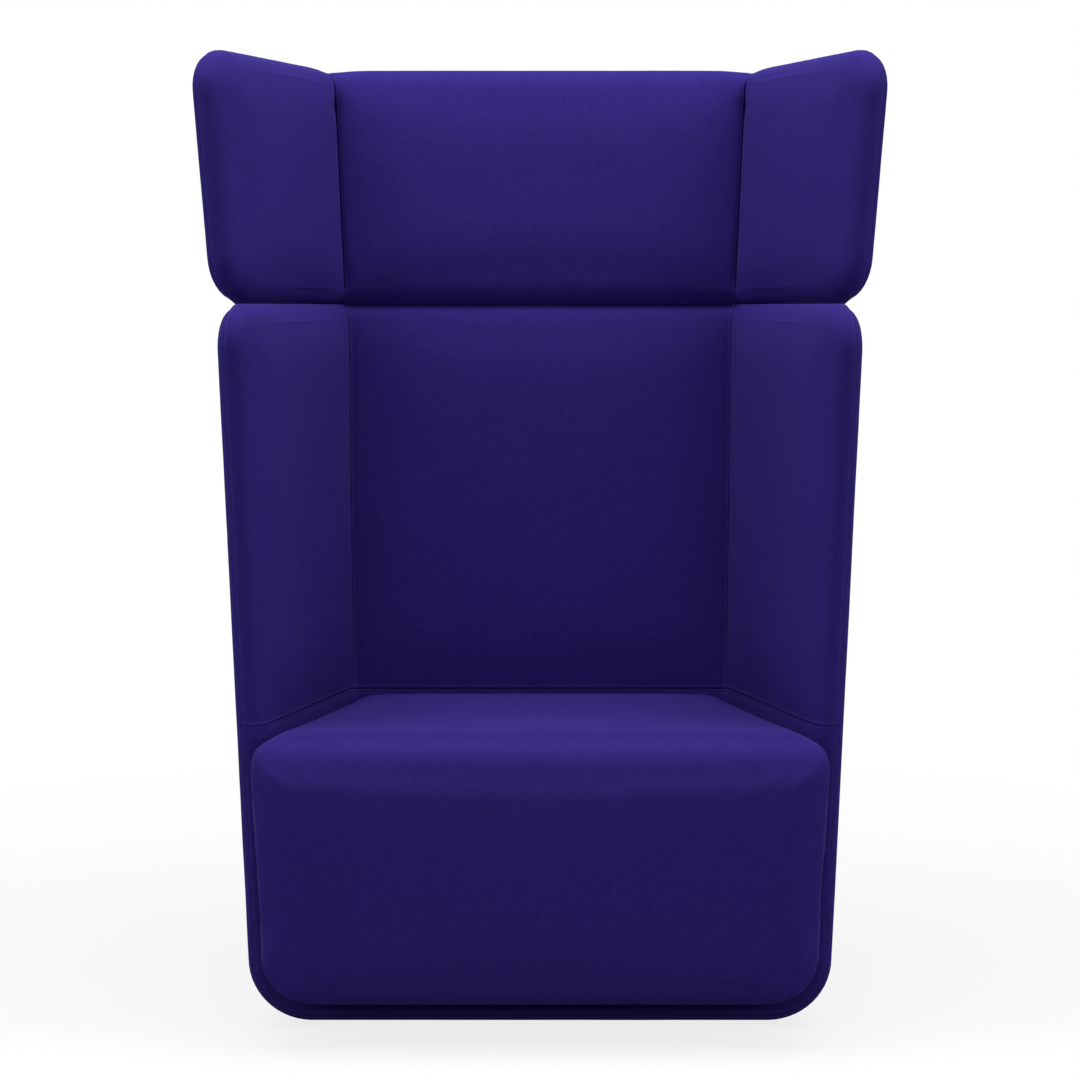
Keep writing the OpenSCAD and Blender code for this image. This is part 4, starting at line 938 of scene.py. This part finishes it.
def stitches_along(line, ways, cloth):
    """Points of each stitch along a line on the felt."""
    steps = np.linalg.norm(np.diff(line, axis=0), axis=1)
    along = np.concatenate([[0], np.cumsum(steps)])
    count = int(along[-1] / cloth.stitch)
    radius = cloth.thread / 2

    def at(shares, values):
        return np.stack([np.interp(shares, along, values[:, k]) for k in range(3)], -1)

    starts = (np.arange(count) + (1 - STITCH_SHARE) / 2) * along[-1] / count
    rings = []
    for share in STITCH_ENDS + STITCH_BENDS:
        place = starts + share * STITCH_SHARE * cloth.stitch
        up = at(place, ways)
        up /= np.linalg.norm(up, axis=1)[:, None]
        if share in STITCH_ENDS:
            rings.append((at(place, line) - up * radius * STITCH_DEPTH)[:, None])
            continue
        middle = at(place, line) + up * radius * STITCH_HEIGHT
        ahead = at(place + MM, line) - at(place - MM, line)
        across = np.cross(up, ahead)
        across /= np.linalg.norm(across, axis=1)[:, None]
        turns = [(1, 0), (0, 1), (-1, 0), (0, -1)]
        rings.append(np.stack([middle + radius * (a * across + b * up) for a, b in turns], 1))
    return list(np.concatenate(rings, axis=1))


# Covers of the headrest


# Run and row of the places where the felt is pulled in, with the depth and the width of each dent in
# millimetres: on top of a corner seam, on the seam below that, and at the upper front corner of a wing
TOP_DENT = (CORNER_SEAM, 0, 3.6, 34)
SEAM_DENTS = ((CORNER_SEAM, 0.9, 2.6, 9), (CORNER_SEAM, 1.0, 1.2, 22))
TIP_DENT = (0, 0.6, 1.0, 9)
# The inner covers of the headrest swell by this much at most
WING_CAP, CENTRE_CAP = 4 * MM, 5 * MM


class CHAIR_OT_headrest(bpy.types.Operator):
    """Make the felt covers of the winged headrest with the foam under them"""
    bl_idname = "chair.headrest_covers"
    bl_label = "Headrest covers"

    def execute(self, context):
        scene = context.scene
        cloth, head, tub = scene.chair_cloth, scene.chair_headrest, scene.chair_tub
        high = head.top - head.low
        to_corner, across, whole = wall_columns([(0, 0), (1, WING)], HEAD_ARC, HEAD_BACK)
        down = divided([(0, 0), (1, HEAD_EDGE_ARC), (2, high - HEAD_EDGE_ARC), (3, high)])
        inner, outer = inner_angles(cloth), outer_angles(cloth)

        def closed_run(index, front):
            return [(np.concatenate([index[::-1, 0], index[0, 1:], index[1:, -1], index[-1, -2:0:-1]]), True)]

        def wing_run(index, front):
            return [(np.concatenate([index[-1, ::-1], index[-2::-1, 0], index[0, 1:]]), False)]

        def centre_run(index, front):
            return [(index[0], False), (index[-1, ::-1], False)]

        def pulled(u, v, depth, width):
            """A place on the face where the felt is pulled in, with its depth and width."""
            mid, inward, way, _ = headrest_cells(scene, np.array([u]), np.array([v]))
            return (mid + tub.wall / 2 * (way if v == 0 else inward))[0], depth * MM, width * MM

        def both(dents):
            return dents + [(place * [-1, 1, 1], *size) for place, *size in dents]

        on_top = [pulled(*TOP_DENT)]
        by_corner = on_top + [pulled(*dent) for dent in SEAM_DENTS]
        make_wall_piece([("headrest_outer_felt", ("head_outer_cover", "head_outer_foam"))], "headrest",
                        headrest_cells, whole, down, closed_run, -1, outer, True, 6, dents=both(on_top))
        make_wall_piece([("headrest_wing_left_felt", ("head_cover_left", "head_inner_foam")),
                         ("headrest_wing_right_felt", ("head_cover_right", "head_inner_foam"))], "headrest",
                        headrest_cells, to_corner, down, wing_run, 1, inner, True, 7, crown=head.bulge,
                        cap=WING_CAP, press=-1, dents=by_corner + [pulled(*TIP_DENT)])
        make_wall_piece([("headrest_centre_felt", ("head_cover_centre", "head_inner_foam"))], "headrest",
                        headrest_cells, across, down, centre_run, 1, inner, True, 9, crown=head.bulge,
                        cap=CENTRE_CAP, press=-1, dents=both(by_corner))
        return {"FINISHED"}


# Seat block


LEAST_RADIUS = 2 * MM
SEAT_HOLLOW = 14 * MM
SEAT_UNDER = 1.1 * MM
# Points along the half outline of the seat block: its front, each corner, its side and its rear
FRONT_STEPS, CORNER_STEPS, SIDE_STEPS, REAR_STEPS = 40, 9, 50, 34
# Rows up the seat block: its lower corners, its upright sides, its rolled edge and its top
LOW_STEPS, WALL_STEPS, ROLL_STEPS, TOP_STEPS = 17, 30, 11, 34
SEAT_WALL = LOW_STEPS
SEAT_ROLL = LOW_STEPS + WALL_STEPS
SEAT_TOP = SEAT_ROLL + ROLL_STEPS - 2
# Power of the fall of the top from its middle to its edge
CROWN_POWER = 1.5
# Rounds of smoothing of the rolled edge, the share of each, the rows that they reach below and above it
# and the rows over which they fade in and out
SOFTENING = 16
SOFT_SHARE = 0.5
SOFT_BELOW, SOFT_ABOVE = 10, 16
FADE_BELOW, FADE_ABOVE = 6, 10
# The cover of the seat swells by this much at most: it starts this far ahead of the tub and takes this
# run to reach it all
SEAT_SWELL = 6 * MM
SWELL_START, SWELL_RUN = 10 * MM, 30 * MM
LEAST_SEAT_FREEDOM = 0.02
# Height, width and seed of the unevenness of the seat, and the share of it that is left where it is held
SEAT_UNEVEN_HEIGHT, SEAT_UNEVEN_WIDTH, SEAT_UNEVEN_SEED = 0.6 * MM, 110 * MM, 12
SEAT_UNEVEN_HELD = 0.4


def seat_half_w(scene, z, y):
    tub = scene.chair_tub
    return (tub_half_w(tub, z) - math.tan(tub.side_taper) * y - tub.wall / math.cos(tub.side_taper)
            - scene.chair_seat.gap)


def seat_rear_y(scene, z):
    return back_inner_y(scene.chair_tub, z) - scene.chair_seat.gap


def seat_outline(scene, z, side, front, rear, front_r, rear_r, swell):
    """Outline of the seat block at one height, all the way round from the middle of its front."""
    seat, taper = scene.chair_seat, scene.chair_tub.side_taper
    y0 = -seat.overhang + front
    y1 = seat_rear_y(scene, z) - rear
    c0 = np.array([(front_r + side) / math.cos(taper) - seat_half_w(scene, z, y0 + front_r), y0 + front_r])
    c1 = np.array([(rear_r + side) / math.cos(taper) - seat_half_w(scene, z, y1 - rear_r), y1 - rear_r])
    flank = math.pi - taper

    def rim(centre, radius, a):
        return centre + radius * np.array([math.cos(a), math.sin(a)])

    half = [np.array([c0[0] * s, y0 - swell * math.cos(QUARTER * s)]) for s in np.linspace(0, 1, FRONT_STEPS)]
    turns = np.linspace(0, 1, CORNER_STEPS)[1:]
    half += [rim(c0, front_r, part_way(3 * QUARTER, flank, s)) for s in turns]
    a0, a1 = rim(c0, front_r, flank), rim(c1, rear_r, flank)
    half += [part_way(a0, a1, s) for s in np.linspace(0, 1, SIDE_STEPS)[1:]]
    half += [rim(c1, rear_r, part_way(flank, QUARTER, s)) for s in turns]
    half += [np.array([c1[0] * (1 - s), y1]) for s in np.linspace(0, 1, REAR_STEPS)[1:]]
    half = np.array(half)
    return np.concatenate([half, (half * [-1, 1])[-2:0:-1]])


def seat_loop(scene, z, side, front, rear, e, swell, fall):
    """One loop round the seat block for a layer that lies e inside it."""
    seat, tub = scene.chair_seat, scene.chair_tub
    low_arc = tub.glide + tub.wall + SEAT_UNDER + seat.low_radius
    bend_h = tub.glide + tub.under_bend
    corner = float(rear_corner(scene, max(z, bend_h))) - tub.wall
    rear_r = max(LEAST_RADIUS, max(seat.edge_radius, corner) - (side if z < low_arc else e))
    if e > seat.edge_radius:
        rear_r = LEAST_RADIUS
    # The rear follows the leaning back down as the block falls towards it
    sink = fall * math.tan(seat.fall) * math.tan(tub.back_lean) * (seat_rear_y(scene, z) + seat.overhang)
    flat = seat_outline(scene, z, side, front, rear + sink, max(LEAST_RADIUS, seat.edge_radius - e), rear_r,
                        swell)
    height = z - fall * math.tan(seat.fall) * (flat[:, 1] + seat.overhang)
    return np.column_stack([flat[:, 0], flat[:, 1] + middle_y(scene), height])


def seat_loops(scene, e):
    """Loops of the seat block from its turned-under margin to the middle of its top."""
    seat, tub = scene.chair_seat, scene.chair_tub
    low = tub.glide + tub.wall + SEAT_UNDER
    low_arc, edge = low + seat.low_radius, seat.low_roll
    top = seat.height + math.tan(seat.fall) * seat.roll_radius / 2
    wall_top = top - seat.roll_radius

    def swell_at(z):
        return seat.swell * math.sin(math.pi * (z - low) / (top - low))

    def front_in(z):
        if z >= low + edge or e >= edge:
            return e
        return edge - math.sqrt(max(0, (edge - e) ** 2 - (low + edge - z) ** 2))

    under = seat.turn_under
    loops = [seat_loop(scene, low + e, seat.low_radius + under, edge + under, seat.low_radius + under,
                       e, 0, 0)]
    for a in QUARTER * (1 - np.linspace(0, 1, LOW_STEPS)):
        z = low_arc - (seat.low_radius - e) * math.sin(a)
        inside = seat.low_radius - (seat.low_radius - e) * math.cos(a)
        loops.append(seat_loop(scene, z, inside, front_in(z), max(inside, e), e,
                               0 if len(loops) == 1 else swell_at(z), 0))
    for s in np.linspace(0, 1, WALL_STEPS)[1:-1]:
        z = part_way(low_arc, wall_top, s)
        loops.append(seat_loop(scene, z, e, e, e, e, swell_at(z), s))
    for a in QUARTER * np.linspace(0, 1, ROLL_STEPS):
        inside = seat.roll_radius - (seat.roll_radius - e) * math.cos(a)
        beside = part_way(e, inside, seat.side_roll)
        loops.append(seat_loop(scene, wall_top + (seat.roll_radius - e) * math.sin(a), beside, inside,
                               beside, e, swell_at(wall_top) * math.cos(a), 1))
    rim = loops[-1]
    centre = np.array([0, (back_inner_y(tub, top) - seat.gap - seat.overhang) / 2 + middle_y(scene)])
    crown = seat.crown / 2
    for s in np.linspace(1, 0, TOP_STEPS)[1:-1]:
        flat = part_way(centre, rim[:, :2], s)
        fall = math.tan(seat.fall) * (flat[:, 1] - middle_y(scene) + seat.overhang)
        loops.append(np.column_stack([flat, top - e + crown * (1 - s * s) ** CROWN_POWER - fall]))
    return softened(np.array(loops)) if e == 0 else np.array(loops)


def softened(loops):
    """Loops whose rolled edge runs smoothly into the sides and the top."""
    first, last = SEAT_ROLL - SOFT_BELOW, SEAT_TOP + SOFT_ABOVE
    share = np.interp(np.arange(first, last), [first, first + FADE_BELOW, last - FADE_ABOVE, last],
                      [0, SOFT_SHARE, SOFT_SHARE, 0])
    for _ in range(SOFTENING):
        middle = (loops[first - 1:last - 1] + loops[first + 1:last + 1]) / 2
        loops[first:last] += (middle - loops[first:last]) * share[:, None, None]
    return loops


class CHAIR_OT_seat(bpy.types.Operator):
    """Make the felt cover of the seat block with the foam under it"""
    bl_idname = "chair.seat_block"
    bl_label = "Seat block"

    def execute(self, context):
        scene = context.scene
        near, far = seat_loops(scene, 0), seat_loops(scene, SEAT_HOLLOW)
        rows, count = near.shape[:2]
        index = np.arange(rows * count).reshape(rows, count)
        ring = np.concatenate([index, index[:, :1]], axis=1)
        quads = quads_between(ring)
        skin, back = (np.concatenate([loops.reshape(-1, 3), loops[-1].mean(axis=0)[None]])
                      for loops in (near, far))
        middle = rows * count
        sheet = quads.tolist() + [[ring[-1, k], ring[-1, k + 1], middle] for k in range(count)]
        # The cover swells in front of the tub and on top, and stays as it is inside the tub
        ahead = np.clip((middle_y(scene) - SWELL_START - skin[:, 1]) / SWELL_RUN, 0, 1)
        on_top = np.append(np.repeat(np.interp(np.arange(rows), [SEAT_ROLL, SEAT_TOP], [0, 1]), count), 1)
        low = np.append(np.repeat(np.interp(np.arange(rows), [1, SEAT_WALL], [0, 1]), count), 1)
        free = np.maximum(ahead, on_top) * low
        if point_ways(skin, quads)[index[-1, 0]][2] < 0:
            sheet = [face[::-1] for face in sheet]
        skin = swollen("seat_felt", skin, sheet, free < LEAST_SEAT_FREEDOM, SEAT_SWELL * free)
        ways = outward_ways(skin, quads, back)
        lift = SEAT_UNEVEN_HEIGHT * uneven(skin, SEAT_UNEVEN_WIDTH, SEAT_UNEVEN_SEED)
        lift *= part_way(SEAT_UNEVEN_HELD, 1, free)
        skin += ways * lift[:, None]
        total = len(skin)
        mouth = [[a, b, b + total, a + total] for a, b in zip(ring[0], ring[0, 1:])]
        inside = [[c + total for c in face[::-1]] for face in sheet]
        make_felt("seat_felt", "chair", ("seat_cover", "seat_foam"), np.concatenate([skin, back]).tolist(),
                  sheet + inside + mouth)
        return {"FINISHED"}


# Finishes, studio and the whole


CAD_FINISHES = {
    "plywood": birch_plywood,
    "steel": drawn_steel,
    "black_plastic": moulded_nylon,
    "black_cloth": lining_cloth,
}


class CHAIR_OT_finishes(bpy.types.Operator):
    """Give the pieces of the frame that stay as they are their plywood, steel, nylon and lining"""
    bl_idname = "chair.frame_finishes"
    bl_label = "Frame finishes"

    def execute(self, context):
        made = {name: make() for name, make in CAD_FINISHES.items()}
        for part in frame["record"]["subparts"]:
            node = frame["nodes"][part["node"]]
            if part["material_slot"] in made:
                node.data.materials.clear()
                node.data.materials.append(made[part["material_slot"]])
        return {"FINISHED"}


class CHAIR_OT_studio(bpy.types.Operator):
    """Make the pale floor, the white backdrop, the soft lamps and the camera"""
    bl_idname = "chair.studio"
    bl_label = "Studio"

    def execute(self, context):
        scene = context.scene
        room = scene.chair_room
        floor = studio_floor(room)
        scene.world = studio_world()
        for name, place, aim, size, power in STUDIO_LAMPS:
            lamp = bpy.data.lights.new(name, "AREA")
            lamp.shape = "RECTANGLE"
            lamp.size, lamp.size_y = size
            lamp.energy = power
            light = bpy.data.objects.new(name, lamp)
            light.location = place
            light.rotation_euler = (Vector(aim) - Vector(place)).to_track_quat("-Z", "Y").to_euler()
            light.visible_camera = False
            scene.collection.objects.link(light)
        eye = bpy.data.cameras.new("camera")
        eye.lens = room.lens
        eye.sensor_width = SENSOR_WIDTH
        camera = bpy.data.objects.new("camera", eye)
        camera.location = (0, -room.distance, room.eye)
        camera.rotation_euler = (math.pi / 2 - room.tilt, 0, 0)
        scene.collection.objects.link(camera)
        scene.camera = camera
        scene.view_settings.view_transform = "Standard"
        return {"FINISHED"}


# Name, place, aim, size and power of the soft boxes: most of the light falls from above, a little from
# the sides, one low box lifts the front of the seat, and one lights the back
STUDIO_LAMPS = (
    ("high_box", (0, 0.3, 6.0), (0, 0, 0.6), (5.0, 2.2), 118),
    ("top_box", (0, -0.1, 2.5), (0, 0, 0.6), (2.4, 0.6), 23),
    ("low_box", (0, -1.55, 0.66), (0, -0.3, 0.3), (2.2, 0.3), 6.6),
    ("high_left_box", (-2.4, -0.6, 3.2), (0, 0, 0.6), (1.4, 1.6), 23),
    ("high_right_box", (2.4, -0.6, 3.2), (0, 0, 0.6), (1.4, 1.6), 23),
    ("front_left_box", (-3.0, -3.0, 2.2), (0, 0, 0.6), (1.2, 2.0), 7),
    ("front_right_box", (3.0, -3.0, 2.2), (0, 0, 0.6), (1.2, 2.0), 7),
    ("left_box", (-3.0, -0.5, 1.1), (0, -0.1, 0.6), (1.0, 2.2), 15),
    ("right_box", (3.0, -0.5, 1.1), (0, -0.1, 0.6), (1.0, 2.2), 15),
    ("back_box", (0, 4.2, 1.8), (0, 0, 0.7), (3.6, 2.0), 60),
)
SENSOR_WIDTH = 36
# Near the chair this share of the floor is lit paint that takes its shadow; the rest shines white
SHADOW_SHARE = 0.2
SHADOW_NEAR, SHADOW_FAR = 0.75, 2.2


def seen_share(tree):
    """One where the camera, a gloss or a clear surface looks straight at what it is asked for."""
    path = add_node(tree, "ShaderNodeLightPath")
    mirrored = add_node(tree, "ShaderNodeMath", {0: path.outputs["Is Glossy Ray"],
                                                 1: path.outputs["Is Transmission Ray"]}, operation="MAXIMUM")
    return add_node(tree, "ShaderNodeMath", {0: path.outputs["Is Camera Ray"], 1: mirrored.outputs[0]},
                    operation="MAXIMUM").outputs[0]


def studio_floor(room):
    """A floor that rises behind the chair in one sweep, far enough to fill the picture."""
    half, front, rear, sweep, height, steps = 14.0, -8.0, 7.0, 3.0, 12.0, 16
    profile = [(front, 0.0), (rear, 0.0)]
    profile += [(rear + sweep * math.sin(a), sweep * (1 - math.cos(a)))
                for a in np.linspace(0, QUARTER, steps)[1:]]
    profile.append((rear + sweep, height))
    points = [(side * half, y, z) for y, z in profile for side in (-1, 1)]
    faces = [(2 * k, 2 * k + 1, 2 * k + 3, 2 * k + 2) for k in range(len(profile) - 1)]
    floor = new_object("floor", points, faces)
    floor.data.materials.append(studio_paint(room))
    return floor


def studio_paint(room):
    """Matt white studio paint, rolled: even, without gloss, with a soft shadow near what stands on it."""
    made, tree, place = new_material("studio_paint_rolled_matt")
    seen = seen_share(tree)
    away = add_node(tree, "ShaderNodeVectorMath", {0: place}, operation="LENGTH").outputs["Value"]
    white = spread(tree, away, low=1 - SHADOW_SHARE, high=1.0, start=SHADOW_NEAR, end=SHADOW_FAR,
                   interpolation_type="SMOOTHSTEP")
    share = add_node(tree, "ShaderNodeMath", {0: seen, 1: white}, operation="MULTIPLY").outputs[0]
    tone = blend(tree, seen, room.underlight, room.floor)
    rolled = add_node(tree, "ShaderNodeBsdfDiffuse", {"Color": tone}).outputs[0]
    glow = add_node(tree, "ShaderNodeEmission", {"Color": paint("#FFFFFF"), "Strength": 1.0}).outputs[0]
    mixed = add_node(tree, "ShaderNodeMixShader", {0: share, 1: rolled, 2: glow}).outputs[0]
    add_node(tree, "ShaderNodeOutputMaterial", {"Surface": mixed})
    return made


def studio_world():
    """White where the camera or a reflection sees it, and no light of its own."""
    world = bpy.data.worlds.new("studio")
    world.use_nodes = True
    tree = world.node_tree
    tree.nodes.clear()
    white = {"Color": paint("#FFFFFF"), "Strength": seen_share(tree)}
    add_node(tree, "ShaderNodeOutputWorld", {
        "Surface": add_node(tree, "ShaderNodeBackground", white).outputs[0]})
    return world


class CHAIR_PT_making(bpy.types.Panel):
    """Lists the steps of making the chair"""
    bl_idname = "CHAIR_PT_making"
    bl_label = "Lounge chair"
    bl_space_type = "VIEW_3D"
    bl_region_type = "UI"
    bl_category = "Chair"

    def draw(self, context):
        for step in STEPS:
            self.layout.operator(step.bl_idname)
        for group in GROUPS:
            box = self.layout.box()
            for name in group.__annotations__:
                box.prop(getattr(context.scene, GROUPS[group]), name)


GROUPS = {
    ChairTub: "chair_tub",
    ChairSeat: "chair_seat",
    ChairHeadrest: "chair_headrest",
    ChairCloth: "chair_cloth",
    ChairRoom: "chair_room",
}
STEPS = (CHAIR_OT_tub, CHAIR_OT_seat, CHAIR_OT_headrest, CHAIR_OT_stitches, CHAIR_OT_finishes,
         CHAIR_OT_studio)


def register():
    for group, name in GROUPS.items():
        bpy.utils.register_class(group)
        setattr(bpy.types.Scene, name, bpy.props.PointerProperty(type=group))
    for step in (*STEPS, CHAIR_PT_making):
        bpy.utils.register_class(step)


def unregister():
    for step in (CHAIR_PT_making, *reversed(STEPS)):
        bpy.utils.unregister_class(step)
    for group, name in GROUPS.items():
        delattr(bpy.types.Scene, name)
        bpy.utils.unregister_class(group)


def main():
    register()
    bpy.ops.chair.tub_covers()
    bpy.ops.chair.seat_block()
    bpy.ops.chair.headrest_covers()
    bpy.ops.chair.topstitching()
    bpy.ops.chair.frame_finishes()
    bpy.ops.chair.studio()


if __name__ == "__main__":
    main()
